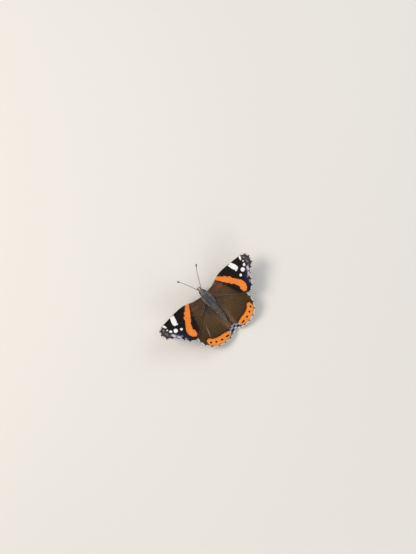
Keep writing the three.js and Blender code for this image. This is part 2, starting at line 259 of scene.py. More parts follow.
def plug(node: Node, inputs: dict[int | str, object]) -> None:
    """Set or link a node's inputs.

    Args:
        node: The node.
        inputs: A value, or the socket to link, for each input by name or number.
    """
    for key, value in inputs.items():
        if isinstance(value, Socket):
            node.id_data.links.new(value, node.inputs[key])
        else:
            node.inputs[key].default_value = value


def add_node(
    tree: bpy.types.NodeTree,
    kind: str,
    inputs: dict[int | str, object] | None = None,
    out: int | str = 0,
    **settings: object,
) -> Socket:
    """Add a shader node with its settings, values and links.

    Args:
        tree: The material's node tree.
        kind: Blender's name of the node, without the ShaderNode that it starts with.
        inputs: A value, or the socket to link, for each input by name or number.
        out: The output that is wanted, by name or number.
        **settings: The node's own settings.

    Returns:
        That output.
    """
    node = tree.nodes.new("ShaderNode" + kind)
    for key, value in settings.items():
        setattr(node, key, value)
    plug(node, inputs or {})
    return node.outputs[out]


def new_material(name: str) -> tuple[Material, AddNode, Node]:
    """Start a material.

    Args:
        name: The finish's name.

    Returns:
        The material, the function that adds a node to it, and its main shader.
    """
    material = bpy.data.materials.new(name)
    material.use_nodes = True
    tree = material.node_tree
    return material, partial(add_node, tree), tree.nodes["Principled BSDF"]


@dataclass(frozen=True)
class Mark:
    """A colour that a wing shows where its field is above zero."""

    field: str
    colour: str
    soft: float = 0.05  # millimetres from nothing to full at its edge, on either side
    ragged: float = 0.3  # millimetres that its edge steps in and out from scale to scale
    full: float = 1.0


@dataclass(frozen=True)
class WingScales:
    """Flat overlapping scales of chitin, a fine mosaic of colours with a dull silk gloss."""

    name: str
    ground: str
    outer: str
    inner: str
    outer_from: float
    outer_to: float
    marks: tuple[Mark, ...]
    under_ground: str
    under_dark: str
    under_pale: str
    under_marks: tuple[Mark, ...]
    scale_length: float = 0.26  # the real ones are 0.15 mm, too fine to show
    scale_width: float = 0.15
    thickness: float = 0.025  # of a scale's free edge
    roughness: float = 0.62

    def build(self) -> Material:
        """Make the material.

        Returns:
            The finish of both faces of a wing.
        """
        material, add, shader = new_material(self.name)
        place, rows = (add("Attribute", out="Vector", attribute_name=name) for name in ("place", "rows"))
        under, vein = (add("Attribute", out="Fac", attribute_name=name) for name in ("under", "vein"))
        drift = add("TexNoise", {"Vector": place, "Scale": 1.1, "Detail": 3.0})
        combed = add("VectorMath", {0: rows, 1: (0.22, 3.4, 1.0)}, operation="MULTIPLY")
        combing = add("TexNoise", {"Vector": combed, "Scale": 1.0, "Detail": 2.0})
        first, second, height = self.shingles(add, rows, place)
        wander = add("Math", {0: drift, 1: first}, operation="ADD")
        jitter = add("Math", {0: wander, 1: 1.0}, operation="SUBTRACT")
        top = self.lay_marks(add, self.ground_colour(add, drift, combing), self.marks, jitter)
        below = self.lay_marks(add, self.under_colour(add, place, drift), self.under_marks, jitter)
        colour = add("Mix", {SHARE: under, FIRST: top, SECOND: below}, MIXED, data_type="RGBA")
        for value, tones in (
            (second, {TO_LOW: 0.82, TO_HIGH: 1.16}),  # from scale to scale
            (height, {TO_LOW: 0.86, TO_HIGH: 1.08}),  # painted shade: darker at each scale's covered end, lighter at its free edge
            (vein, {FROM_LOW: 0.1, FROM_HIGH: 1.0, TO_LOW: 1.0, TO_HIGH: 0.76}),  # darker on the veins
        ):
            shade = add("MapRange", {VALUE: value, **tones})
            colour = add("VectorMath", {0: colour, FACTOR: shade}, operation="SCALE")
        bump = add("Bump", {"Height": height, "Distance": self.thickness * MM, "Strength": 0.45})
        plug(shader, {"Base Color": colour, "Normal": bump, "Roughness": self.roughness, "IOR": 1.5})
        plug(shader, {"Specular IOR Level": 0.1, "Sheen Weight": 0.03, "Sheen Roughness": 0.4})
        return material

    def shingles(self, add: AddNode, rows: Socket, place: Socket) -> tuple[Socket, Socket, Socket]:
        """Lay the scales in rows like roof tiles, each row half a scale beside the last.

        Args:
            add: The function that adds a node.
            rows: The place outward and across the wing, in millimetres.
            place: The place on the wing in millimetres.

        Returns:
            Two random numbers for each scale, and the scales' height, which rises to their outer edge.
        """
        sway = add("TexNoise", {"Vector": place, "Scale": 0.9, "Detail": 2.0}, "Color")
        moved = add("VectorMath", {0: sway, 1: (0.9, 0.5, 0.0), 2: rows}, operation="MULTIPLY_ADD")
        per_millimetre = (1 / self.scale_length, 1 / self.scale_width, 0.0)
        laid = add("VectorMath", {0: moved, 1: per_millimetre}, operation="MULTIPLY")
        outward, across, _ = add("SeparateXYZ", {0: laid}).node.outputs
        row = add("Math", {0: outward}, operation="FLOOR")
        beside = add("Math", {0: row, 1: 0.5, 2: across}, operation="MULTIPLY_ADD")
        column = add("Math", {0: beside}, operation="FLOOR")
        cell = add("CombineXYZ", {0: row, 1: column})
        tone = add("TexWhiteNoise", {"Vector": cell}, "Color")
        first, second, _ = add("SeparateColor", {0: tone}).node.outputs
        along = add("Math", {0: outward}, operation="FRACT")
        aside = add("Math", {0: beside, 1: 0.5}, operation="PINGPONG")
        rounded = add("MapRange", {VALUE: aside, FROM_LOW: 0.0, FROM_HIGH: 0.5, TO_LOW: 0.55, TO_HIGH: 1.0})
        return first, second, add("Math", {0: along, 1: rounded}, operation="MULTIPLY")

    def ground_colour(self, add: AddNode, drift: Socket, combing: Socket) -> Socket:
        """Paint the upper face's ground, from the warm root to the dark outer part.

        Args:
            add: The function that adds a node.
            drift: Slow noise.
            combing: Noise drawn out along the veins.

        Returns:
            The ground's colour.
        """
        reach, warm = (add("Attribute", out="Fac", attribute_name=name) for name in ("reach", "warm"))
        outward = add("MapRange", {VALUE: reach, FROM_LOW: self.outer_from, FROM_HIGH: self.outer_to})
        colour = linear(self.ground)
        for share, other in ((outward, self.outer), (warm, self.inner)):
            colour = add("Mix", {SHARE: share, FIRST: colour, SECOND: linear(other)}, MIXED, data_type="RGBA")
        both = add("Math", {0: drift, 1: combing}, operation="ADD")
        light = add("MapRange", {VALUE: both, FROM_LOW: 0.7, FROM_HIGH: 1.3, TO_LOW: 0.78, TO_HIGH: 1.25})
        return add("VectorMath", {0: colour, FACTOR: light}, operation="SCALE")

    def under_colour(self, add: AddNode, place: Socket, drift: Socket) -> Socket:
        """Paint the lower face's bark-like mottling.

        Args:
            add: The function that adds a node.
            place: The place on the wing in millimetres.
            drift: Slow noise.

        Returns:
            The ground's colour.
        """
        blots = add("TexNoise", {"Vector": place, "Scale": 0.55, "Detail": 5.0, "Roughness": 0.65})
        dark = add("MapRange", {VALUE: blots, FROM_LOW: 0.44, FROM_HIGH: 0.52})
        pale = add("MapRange", {VALUE: drift, FROM_LOW: 0.58, FROM_HIGH: 0.68, TO_LOW: 0.0, TO_HIGH: 0.6})
        colour = linear(self.under_ground)
        for share, other in ((dark, self.under_dark), (pale, self.under_pale)):
            colour = add("Mix", {SHARE: share, FIRST: colour, SECOND: linear(other)}, MIXED, data_type="RGBA")
        return colour

    def lay_marks(self, add: AddNode, colour: Socket, marks: tuple[Mark, ...], jitter: Socket) -> Socket:
        """Lay each mark over a colour, with an edge that steps from scale to scale.

        Args:
            add: The function that adds a node.
            colour: The colour under the marks.
            marks: The marks, in order.
            jitter: Noise about zero.

        Returns:
            The marked colour.
        """
        for mark in marks:
            depth = add("Attribute", out="Fac", attribute_name=mark.field)
            rough = add("Math", {0: jitter, 1: mark.ragged, 2: depth}, operation="MULTIPLY_ADD")
            edge = {FROM_LOW: -mark.soft, FROM_HIGH: mark.soft, TO_HIGH: mark.full}
            share = add("MapRange", {VALUE: rough, **edge})
            over = linear(mark.colour)
            colour = add("Mix", {SHARE: share, FIRST: colour, SECOND: over}, MIXED, data_type="RGBA")
        return colour


@dataclass(frozen=True)
class HairFinish:
    """Hair and hair-like scales, matt with a faint silk sheen, each one darker at its root."""

    name: str
    dark: str
    mid: str
    pale: str
    roughness: float = 0.7
    root_shade: float = 0.6
    tip_shade: float = 1.1

    def build(self) -> Material:
        """Make the material, which reads how pale each hair is and how far along it a place lies.

        Returns:
            The finish of a coat.
        """
        material, add, shader = new_material(self.name)
        paleness, along = (add("Attribute", out="Fac", attribute_name=name) for name in ("paleness", "along"))
        ramp = add("ValToRGB", {0: paleness})
        stops = ramp.node.color_ramp.elements
        stops.new(0.5)
        for stop, colour in zip(stops, (self.dark, self.mid, self.pale)):
            stop.color = linear(colour)
        light = add("MapRange", {VALUE: along, TO_LOW: self.root_shade, TO_HIGH: self.tip_shade})
        shaded = add("VectorMath", {0: ramp, FACTOR: light}, operation="SCALE")
        plug(shader, {"Base Color": shaded, "Roughness": self.roughness, "Specular IOR Level": 0.25})
        plug(shader, {"Sheen Weight": 0.2, "Sheen Roughness": 0.5})
        return material


@dataclass(frozen=True)
class Cuticle:
    """Hard insect skin, smooth and dark with a satin gloss, roughened by fine pits."""

    name: str
    dark: str
    pale: str
    grain: float = 0.2  # millimetres from pit to pit
    roughness: float = 0.42
    depth: float = 0.02

    def build(self) -> Material:
        """Make the material, which reads how pale each place is.

        Returns:
            The finish of hard skin.
        """
        material, add, shader = new_material(self.name)
        place = add("TexCoord", out="Object")
        paleness = add("Attribute", out="Fac", attribute_name="paleness")
        pits = add("TexNoise", {"Vector": place, "Scale": 1 / (self.grain * MM), "Detail": 3.0})
        spread = add("MapRange", {VALUE: pits, FROM_LOW: 0.3, FROM_HIGH: 0.7, TO_LOW: -0.12, TO_HIGH: 0.12})
        share = add("Math", {0: paleness, 1: spread}, operation="ADD", use_clamp=True)
        ends = {FIRST: linear(self.dark), SECOND: linear(self.pale)}
        colour = add("Mix", {SHARE: share, **ends}, MIXED, data_type="RGBA")
        bump = add("Bump", {"Height": pits, "Distance": self.depth * MM, "Strength": 0.6})
        plug(shader, {"Base Color": colour, "Normal": bump, "Roughness": self.roughness, "IOR": 1.55})
        return material


@dataclass(frozen=True)
class EyeFacets:
    """Compound eye: clear domed lenses over brown pigment, in a honeycomb that gleams and shows fine dots."""

    name: str = "compound eye lenses"
    dark: str = "1d110c"
    pale: str = "5b3a26"
    facet: float = 0.07  # the real lenses are 0.025 mm, too fine to show
    dome: float = 0.02

    def build(self) -> Material:
        """Make the material.

        Returns:
            The finish of an eye.
        """
        material, add, shader = new_material(self.name)
        place = add("TexCoord", out="Object")
        paleness = add("Attribute", out="Fac", attribute_name="paleness")
        lens = {"Vector": place, "Scale": 1 / (self.facet * MM), "Randomness": 0.15}
        aside = add("TexVoronoi", lens, "Distance")
        centre = add("MapRange", {VALUE: aside, FROM_LOW: 0.1, FROM_HIGH: 0.7, TO_LOW: 0.25, TO_HIGH: -0.2})
        share = add("Math", {0: paleness, 1: centre}, operation="ADD", use_clamp=True)
        ends = {FIRST: linear(self.dark), SECOND: linear(self.pale)}
        colour = add("Mix", {SHARE: share, **ends}, MIXED, data_type="RGBA")
        bump = add("Bump", {"Height": aside, "Distance": self.dome * MM, "Strength": 0.5}, invert=True)
        plug(shader, {"Base Color": colour, "Normal": bump, "Roughness": 0.3, "IOR": 1.5})
        plug(shader, {"Coat Weight": 0.5, "Coat Roughness": 0.12})
        return material


@dataclass(frozen=True)
class Paper:
    """Seamless studio paper: matt and pale, with a barely seen tooth."""

    name: str = "studio paper"
    colour: str = "e6e3dc"
    teeth: float = 1800.0  # to the metre, about 0.6 mm apart
    depth: float = 0.02

    def build(self) -> Material:
        """Make the material.

        Returns:
            The finish of the floor.
        """
        material, add, shader = new_material(self.name)
        place = add("TexCoord", out="Object")
        tooth = add("TexNoise", {"Vector": place, "Scale": self.teeth, "Detail": 4.0})
        bump = add("Bump", {"Height": tooth, "Distance": self.depth * MM, "Strength": 0.3})
        plug(shader, {"Base Color": linear(self.colour), "Normal": bump})
        plug(shader, {"Roughness": 0.9, "Specular IOR Level": 0.2})
        return material


BAND_ORANGE = "f58838"
WHITE = "fbf9f6"
BLACK = "171411"

FORE_FINISH = WingScales(
    name="fore wing scales",
    ground="5a4229",
    outer="3c2a1a",
    inner="8a4b33",
    outer_from=8.0,
    outer_to=16.0,
    marks=(
        Mark("black", BLACK, soft=0.25, ragged=0.9),
        Mark("indigo", "26284a", soft=1.0, ragged=0.5, full=0.6),
        Mark("ashy", "4a4243", soft=1.2, ragged=1.2, full=0.75),
        Mark("line", "a59ca6", soft=0.12, ragged=0.35, full=0.7),
        Mark("costa", "9c8068", soft=0.15, ragged=0.2, full=0.7),
        Mark("orange", BAND_ORANGE, soft=0.06, ragged=0.32),
        Mark("glow", "ff9c40", soft=1.2, ragged=0.3, full=0.45),
        Mark("bites", BLACK, soft=0.08, ragged=0.45),
        Mark("white", WHITE, soft=0.05, ragged=0.2),
        Mark("violet", "d8d0da", soft=0.3, ragged=0.4, full=0.9),
        Mark("rim", "2a2320", soft=0.15, ragged=0.3),
    ),
    under_ground="4b3a2c",
    under_dark="211b1a",
    under_pale="a08d78",
    under_marks=(
        Mark("black", "1a1718", soft=0.2, ragged=0.7),
        Mark("orange", "e0703f", soft=0.1, ragged=0.5),
        Mark("white", WHITE, soft=0.08, ragged=0.25),
        Mark("violet", "6f86b8", soft=0.2, ragged=0.5),
        Mark("tip", "7d6a55", soft=0.5, ragged=0.9),
    ),
)

HIND_FINISH = WingScales(
    name="hind wing scales",
    ground="58442c",
    outer="46331d",
    inner="7c604a",
    outer_from=9.0,
    outer_to=17.0,
    marks=(
        Mark("border", "2b1d12", soft=0.5, ragged=0.6, full=0.85),
        # painted highlight: a pale streak where the left hind wing's fold catches the light
        Mark("crease", "b39a8e", soft=0.22, ragged=0.22, full=0.6),
        Mark("orange", "f68f35", soft=0.08, ragged=0.5),
        Mark("glow", "f8a246", soft=0.9, ragged=0.4, full=0.5),
        Mark("dusk", "241f2c", soft=0.4, ragged=0.8, full=0.9),
        Mark("violet", "c2bfd2", soft=0.16, ragged=0.7, full=0.95),
        Mark("black", BLACK, soft=0.07, ragged=0.25),
        Mark("rim", "4a3320", soft=0.1, ragged=0.25, full=0.85),
    ),
    under_ground="4a3b30",
    under_dark="1f1a1a",
    under_pale="a3907c",
    under_marks=(
        Mark("border", "6a5b52", soft=0.5, ragged=1.2, full=0.7),
        Mark("violet", "6d7f9c", soft=0.4, ragged=0.9, full=0.7),
        Mark("black", "17130f", soft=0.1, ragged=0.4),
        Mark("costal", "d9c9ad", soft=0.15, ragged=0.5),
    ),
)


@dataclass(frozen=True)
class Stance:
    """Where the insect stands: the middle of its thorax over the floor, and how far its head is held up."""

    height: float = 5.6
    pitch: float = math.radians(5)

    @property
    def ahead(self) -> float:
        """Where the middle of the thorax is along Y, from its solid."""
        low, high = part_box("thorax")
        return (low[1] + high[1]) / 2 / MM

    def place(self, points: Array) -> Array:
        """Turn points of the body's frame into the frame of the part.

        Args:
            points: Points in millimetres from the middle of the thorax.

        Returns:
            The same points from the frame's origin.
        """
        x, y, z = np.asarray(points, float).T
        sine, cosine = math.sin(self.pitch), math.cos(self.pitch)
        return np.column_stack([x, self.ahead + y * cosine - z * sine, self.height + y * sine + z * cosine])

    def turn(self, vectors: Array) -> Array:
        """Turn directions of the body's frame into the frame of the part."""
        return self.place(vectors) - self.place(np.zeros((1, 3)))

    @property
    def upward(self) -> Array:
        """The body's own upward direction in the frame of the part, as one row."""
        return self.turn(np.array([[0.0, 0.0, 1.0]]))

    def ground(self, points: Array) -> Array:
        """Turn points given out, ahead of the thorax and up from the floor into the frame of the part."""
        return np.asarray(points, float) + [0, self.ahead, 0]


@dataclass(frozen=True)
class Tufts:
    """Hairs, scales or vanes as closed spikes, flat or round, that bend from their root to their tip."""

    rings: int = 3
    sides: int = 3
    flatness: float = 0.4
    sink: float = 0.04  # how deep each root goes into the skin
    patch: float = 0.003  # the room that each tuft takes on the unwrap

    @property
    def per_tuft(self) -> int:
        """How many corners a tuft has."""
        return self.rings * self.sides + 1

    def fields(self, along: Array, paleness: Array) -> dict[str, Array]:
        """Store how far along its tuft each corner lies, and how pale its tuft is."""
        return {"along": along, "paleness": np.repeat(np.clip(paleness, 0, 1), self.per_tuft)}

    def grow(
        self,
        roots: Array,
        rise: Array,
        lie: Array,
        broad: Array,
        length: Array,
        width: Array,
        map_places: Array,
    ) -> tuple[Array, Array, Array, Array]:
        """Grow one tuft from each root.

        Args:
            roots: Where they grow, one a row.
            rise: The direction in which each leaves the skin.
            lie: The direction into which each bends.
            broad: Across each tuft's broad side.
            length: Each tuft's length.
            width: Each tuft's width at its widest.
            map_places: Each root's place on the unwrap.

        Returns:
            The corners, the triangles, and each corner's share of the way along and place on the unwrap.
        """
        count = len(roots)
        broad = unit(broad)
        corners = []
        shares = []
        spots = []
        for ring in range(self.rings):
            share = 0.8 * ring / (self.rings - 1)
            middle = self.path(roots, rise, lie, length, share)
            ahead = unit(rise * (1 - share) + lie * share)
            thin = unit(np.cross(broad, ahead))
            girth = width * (0.55 + 1.1 * share) if share < 0.4 else width * (1.6 - 1.5 * share)
            for k in range(self.sides):
                angle = 2 * math.pi * (k + 0.25) / self.sides
                across = broad * math.cos(angle) + thin * math.sin(angle) * self.flatness
                corners.append(middle + across * girth[:, None] / 2)
                shares.append(np.full(count, share))
                spots.append(map_places + [self.patch * share, self.patch * k / self.sides])
        corners.append(self.path(roots, rise, lie, length, 1.0))
        shares.append(np.ones(count))
        spots.append(map_places + [self.patch, self.patch / 2])
        starts = (np.arange(count) * self.per_tuft)[:, None, None]
        triangles = (self.pattern()[None] + starts).reshape(-1, 3)
        points = np.stack(corners, axis=1).reshape(-1, 3)
        along = np.stack(shares, axis=1).ravel()
        spot = np.stack(spots, axis=1).reshape(-1, 2)
        return points, triangles, along, spot

    def path(self, roots: Array, rise: Array, lie: Array, length: Array, share: float) -> Array:
        """Find where each tuft's middle is at a share of its length."""
        reach = unit(rise) * share * (1 - share / 2) + unit(lie) * share**2 / 2
        return roots - unit(rise) * self.sink + reach * (length[:, None] * 1.15)

    def pattern(self) -> Array:
        """List one tuft's triangles, with its corners numbered ring by ring and its tip last.

        Returns:
            The triangles, which face outward.
        """
        n = self.sides
        triangles = [(0, k, k + 1) for k in range(1, n - 1)]
        for ring in range(self.rings - 1):
            for k in range(n):
                a, b = ring * n + k, ring * n + (k + 1) % n
                triangles += [(b, a, b + n), (b + n, a, a + n)]
        last = (self.rings - 1) * n
        tip = self.rings * n
        triangles += [(last + (k + 1) % n, last + k, tip) for k in range(n)]
        return np.array(triangles)


@dataclass(frozen=True)
class Vein:
    """A vein's run out and ahead, and the share of its length at which it leaves the stem or the cell."""

    name: str
    run: tuple[tuple[float, float], ...]
    leaves: float = 0.0


@dataclass(frozen=True)
class WingPlan:
    """A wing's veins from its front edge to its back edge, its cell and its markings, on the flat."""

    pair: Pair
    veins: tuple[Vein, ...]
    cell_end: float
    cell_veins: tuple[str, ...]
    lift: float
    upper: dict[str, Strokes]
    under: dict[str, Strokes]
    warm: Strokes
    fringe_from: int
    fringe_pale: float
    back_pale: float
    hairs: int
    droop: float = 0.0

    STATIONS: ClassVar[tuple[float, ...]] = (0.0, 0.4, 0.72, 1.0)  # where along a vein its four points lie

    @property
    def ends(self) -> Array:
        """The veins' ends at the margin, out and ahead."""
        return np.array([self.vein_points(k, [1.0])[0] for k in range(len(self.veins))])

    def vein_points(self, index: int, shares: Array) -> Array:
        """Find points on a vein.

        Args:
            index: Which vein.
            shares: The shares of its length.

        Returns:
            The points, out and ahead, one a row.
        """
        run = np.array(self.veins[index].run)
        stations = np.array(self.STATIONS)
        slopes = np.array([
            (run[min(k + 1, 3)] - run[max(k - 1, 0)]) / (stations[min(k + 1, 3)] - stations[max(k - 1, 0)])
            for k in range(4)
        ])
        shares = np.asarray(shares, float)
        index_of = np.clip(np.searchsorted(stations, shares, side="left") - 1, 0, 2)
        span = (stations[index_of + 1] - stations[index_of])[:, None]
        t = (shares - stations[index_of])[:, None] / span
        start = run[index_of] * (1 + 2 * t) * (1 - t) ** 2 + slopes[index_of] * span * t * (1 - t) ** 2
        end = run[index_of + 1] * t**2 * (3 - 2 * t) + slopes[index_of + 1] * span * t**2 * (t - 1)
        return start + end


FORE_BAND = (
    (10.3, 5.5, 0.95), (11.5, 4.0, 1.15), (12.8, 2.4, 1.3), (14.0, 0.9, 1.4), (15.2, -0.6, 1.5),
    (16.7, -2.4, 1.45), (17.8, -4.1, 1.6), (18.5, -5.7, 1.7), (18.3, -7.3, 1.7), (17.8, -8.7, 1.1),
)
FORE_BULGES = (((14.0, 2.2, 1.1),), ((15.6, 0.5, 1.2),), ((17.5, -7.4, 1.3), (17.3, -8.9, 0.7)))
FORE_BITES = (
    ((10.5, 2.9, 0.42),),
    ((11.9, 0.8, 0.4), (11.5, 0.1, 0.5)),
    ((13.5, -1.3, 0.5), (12.9, -1.9, 0.7)),
    ((15.3, -3.3, 0.4), (14.6, -3.8, 0.7)),
    ((16.2, -6.1, 0.5), (15.6, -6.4, 0.8)),
    ((17.9, 0.9, 0.45), (18.4, 0.0, 0.5)),
)
FORE_WHITE = (
    ((20.4, 6.9, 1.0), (20.8, 5.2, 1.15), (21.4, 3.5, 1.32), (21.8, 2.4, 1.15)),
    ((22.6, 1.9, 0.35), (21.0, 1.3, 0.4)),
    ((23.9, -0.7, 1.08),),
    ((26.0, 0.6, 0.62), (26.3, 0.9, 0.55)),
    ((27.0, 2.4, 0.44),),
    ((21.2, -2.1, 0.68),),
    ((27.6, 6.1, 0.42), (27.0, 5.0, 0.5), (26.6, 3.9, 0.42)),
)
FORE_PLAN = WingPlan(
    pair=Pair.FORE,
    veins=(
        Vein("lead", ((1.5, 3.0), (5.6, 3.75), (8.9, 4.85), (12.0, 5.95)), 2.0),
        Vein("Sc", ((1.5, 2.75), (7.2, 3.65), (11.6, 5.0), (16.0, 6.5))),
        Vein("R1", ((1.5, 2.55), (8.8, 3.6), (14.4, 4.9), (20.2, 6.45)), 0.5),
        Vein("R2", ((1.5, 2.4), (10.0, 3.5), (16.8, 4.75), (23.6, 6.2)), 0.6),
        Vein("R3", ((1.5, 2.25), (11.3, 3.35), (20.0, 4.45), (28.6, 5.8)), 0.72),
        Vein("R4", ((1.5, 2.1), (12.0, 3.1), (21.6, 3.75), (31.1, 4.5)), 0.82),
        Vein("R5", ((1.5, 1.95), (12.4, 2.8), (22.2, 2.95), (31.9, 2.4))),
        Vein("M1", ((1.5, 1.7), (12.6, 2.3), (22.0, 1.3), (31.0, -1.0)), 0.5),
        Vein("M2", ((1.5, 1.4), (12.4, 1.1), (20.8, -0.4), (28.6, -2.6)), 0.5),
        Vein("M3", ((1.5, 1.1), (11.8, -0.4), (19.3, -2.2), (26.3, -4.7))),
        Vein("CuA1", ((1.5, 0.85), (11.0, -1.4), (17.9, -4.2), (24.4, -7.4)), 0.35),
        Vein("CuA2", ((1.5, 0.6), (9.8, -2.6), (16.2, -6.2), (22.7, -10.1)), 0.24),
        Vein("2A", ((1.5, 0.3), (8.6, -3.5), (14.4, -7.7), (20.3, -11.35))),
        Vein("trail", ((1.5, -0.1), (7.9, -3.95), (13.6, -8.4), (19.5, -11.75)), 2.0),
    ),
    cell_end=0.5,
    cell_veins=("R5", "M1", "M2", "M3"),
    lift=1.15,
    upper={
        "orange": (FORE_BAND, *FORE_BULGES),
        "glow": (
            ((17.9, -4.9, 0.2), (18.4, -7.0, 0.8), (17.8, -8.6, 0.6)),
            ((9.9, 5.9, 0.3), (10.4, 5.2, 0.2)),
        ),
        "black": (
            resized(FORE_BAND, more=0.8),
            ((14.6, 5.2, 1.5), (18.5, 4.5, 3.6), (23.0, 2.5, 6.2), (28.0, 1.5, 6.0)),
            ((20.5, -1.0, 4.2), (22.5, -5.0, 4.6), (20.8, -9.0, 2.6)),
            ((12.6, -1.6, 0.6), (14.2, -4.4, 1.1), (15.0, -6.6, 1.1), (15.6, -8.6, 0.8)),
        ),
        "bites": FORE_BITES,
        "white": FORE_WHITE,
        "ashy": (((29.8, 4.4, 2.2), (29.6, 1.5, 2.6), (28.2, -1.5, 1.8)),),
        "indigo": (((25.2, -1.6, 1.0), (23.2, -4.2, 1.3), (22.0, -6.8, 1.3), (20.6, -9.8, 0.8)),),
        "violet": (
            ((26.6, -1.1, 0.4), (26.2, -2.4, 0.62), (26.6, -3.2, 0.35)),
            ((25.3, -3.7, 0.4), (24.7, -4.7, 0.66), (24.5, -5.6, 0.45)),
            ((22.9, -7.3, 0.3), (22.6, -8.2, 0.3)),
        ),
    },
    under={
        "orange": (resized(FORE_BAND, times=0.85),),
        "black": (((8.0, 2.0, 2.2), (14.0, 0.5, 4.5), (20.0, 0.0, 6.5), (23.0, -3.0, 5.0)),),
        "white": FORE_WHITE,
        "violet": (((9.0, 2.9, 0.35), (9.6, 1.4, 0.3)), ((15.6, 3.4, 0.3), (16.5, 2.0, 0.35))),
        "tip": (((30.5, 3.5, 3.4), (28.5, -0.5, 2.6)),),
    },
    warm=(((4.5, 2.7, 1.5), (7.5, 2.4, 1.9), (10.0, 2.6, 1.3)),),
    fringe_from=4,
    fringe_pale=0.41,
    back_pale=0.31,
    hairs=1400,
    droop=0.42,
)

HIND_BAND = (
    (14.6, -16.3, 1.15), (13.8, -18.1, 1.85), (11.8, -19.5, 2.05), (9.4, -20.2, 2.05), (6.7, -20.5, 1.9),
    (4.4, -20.7, 1.45),
)
HIND_PLAN = WingPlan(
    pair=Pair.HIND,
    veins=(
        Vein("lead", ((1.4, -0.9), (6.0, -1.7), (10.4, -3.4), (14.2, -5.9)), 2.0),
        Vein("ScR1", ((1.4, -1.2), (7.2, -3.3), (12.9, -6.6), (18.5, -11.4))),
        Vein("Rs", ((1.4, -1.45), (7.4, -4.6), (13.0, -8.9), (18.7, -14.0))),
        Vein("M1", ((1.4, -1.7), (7.1, -5.8), (12.3, -11.2), (18.0, -17.0)), 0.42),
        Vein("M2", ((1.4, -1.95), (6.7, -6.8), (11.2, -13.2), (15.8, -20.2)), 0.42),
        Vein("M3", ((1.4, -2.15), (6.1, -7.6), (9.5, -14.8), (12.4, -22.5))),
        Vein("CuA1", ((1.4, -2.35), (5.3, -8.2), (7.4, -15.7), (8.7, -23.3)), 0.34),
        Vein("CuA2", ((1.4, -2.55), (4.3, -8.6), (5.2, -15.9), (4.9, -23.6)), 0.22),
        Vein("2A", ((1.4, -2.75), (3.2, -8.8), (3.1, -15.6), (2.4, -22.9))),
        Vein("3A", ((1.4, -2.95), (2.3, -8.4), (1.6, -14.8), (0.8, -22.0))),
        Vein("trail", ((1.4, -3.2), (1.1, -7.8), (0.0, -13.8), (-0.35, -20.8)), 2.0),
    ),
    cell_end=0.42,
    cell_veins=("Rs", "M1", "M2", "M3"),
    lift=0.0,
    upper={
        "orange": (HIND_BAND,),
        "glow": (((13.9, -17.9, 0.4), (11.8, -19.6, 0.5), (9.0, -20.4, 0.5)),),
        "border": (resized(HIND_BAND, more=0.7),),
        "black": (
            ((14.5, -17.4, 0.48), (14.3, -17.7, 0.44)),
            ((12.2, -19.0, 0.46), (11.9, -19.2, 0.5)),
            ((9.3, -20.2, 0.46), (8.9, -20.4, 0.5)),
            ((6.3, -20.8, 0.38), (5.0, -21.0, 0.44)),
            ((2.2, -21.0, 0.35), (1.2, -20.6, 0.3)),
        ),
        # painted highlight: a pale streak where the left hind wing's fold catches the light
        "crease": (((10.2, -8.6, -0.1), (11.0, -11.0, 0.12), (12.0, -13.6, 0.2), (12.7, -15.6, 0.0)),),
        "dusk": (((0.2, -19.2, 1.2), (1.6, -20.4, 1.3), (3.0, -21.4, 0.9)),),
        "violet": (
            ((0.1, -18.8, 0.3), (0.8, -18.9, 0.34)),
            ((1.1, -19.8, 0.34), (1.8, -19.6, 0.3)),
            ((2.5, -20.1, 0.34), (3.1, -20.7, 0.4)),
            ((3.6, -21.5, 0.2),),
            ((0.3, -20.7, 0.24), (0.6, -21.5, 0.3)),
            ((2.3, -21.9, 0.3), (2.8, -22.1, 0.22)),
        ),
    },
    under={
        "border": (((15.5, -14.0, 1.6), (13.5, -18.5, 1.8), (8.0, -21.0, 1.6), (3.0, -20.5, 1.4)),),
        "violet": (((14.5, -17.4, 0.5),), ((12.0, -19.1, 0.5),), ((9.0, -20.3, 0.5),), ((3.0, -21.3, 0.8),)),
        "black": (
            ((5.0, -6.0, 1.2), (8.5, -9.5, 1.5)),
            ((14.5, -17.4, 0.28),),
            ((12.0, -19.1, 0.3),),
            ((9.0, -20.3, 0.3),),
        ),
        "costal": (((11.6, -5.2, 0.7), (12.2, -6.4, 0.8)),),
    },
    warm=(((2.6, -8.0, 1.3), (1.8, -14.0, 1.0), (1.5, -18.0, 0.8)),),
    fringe_from=1,
    fringe_pale=0.42,
    back_pale=0.2,
    hairs=2200,
)


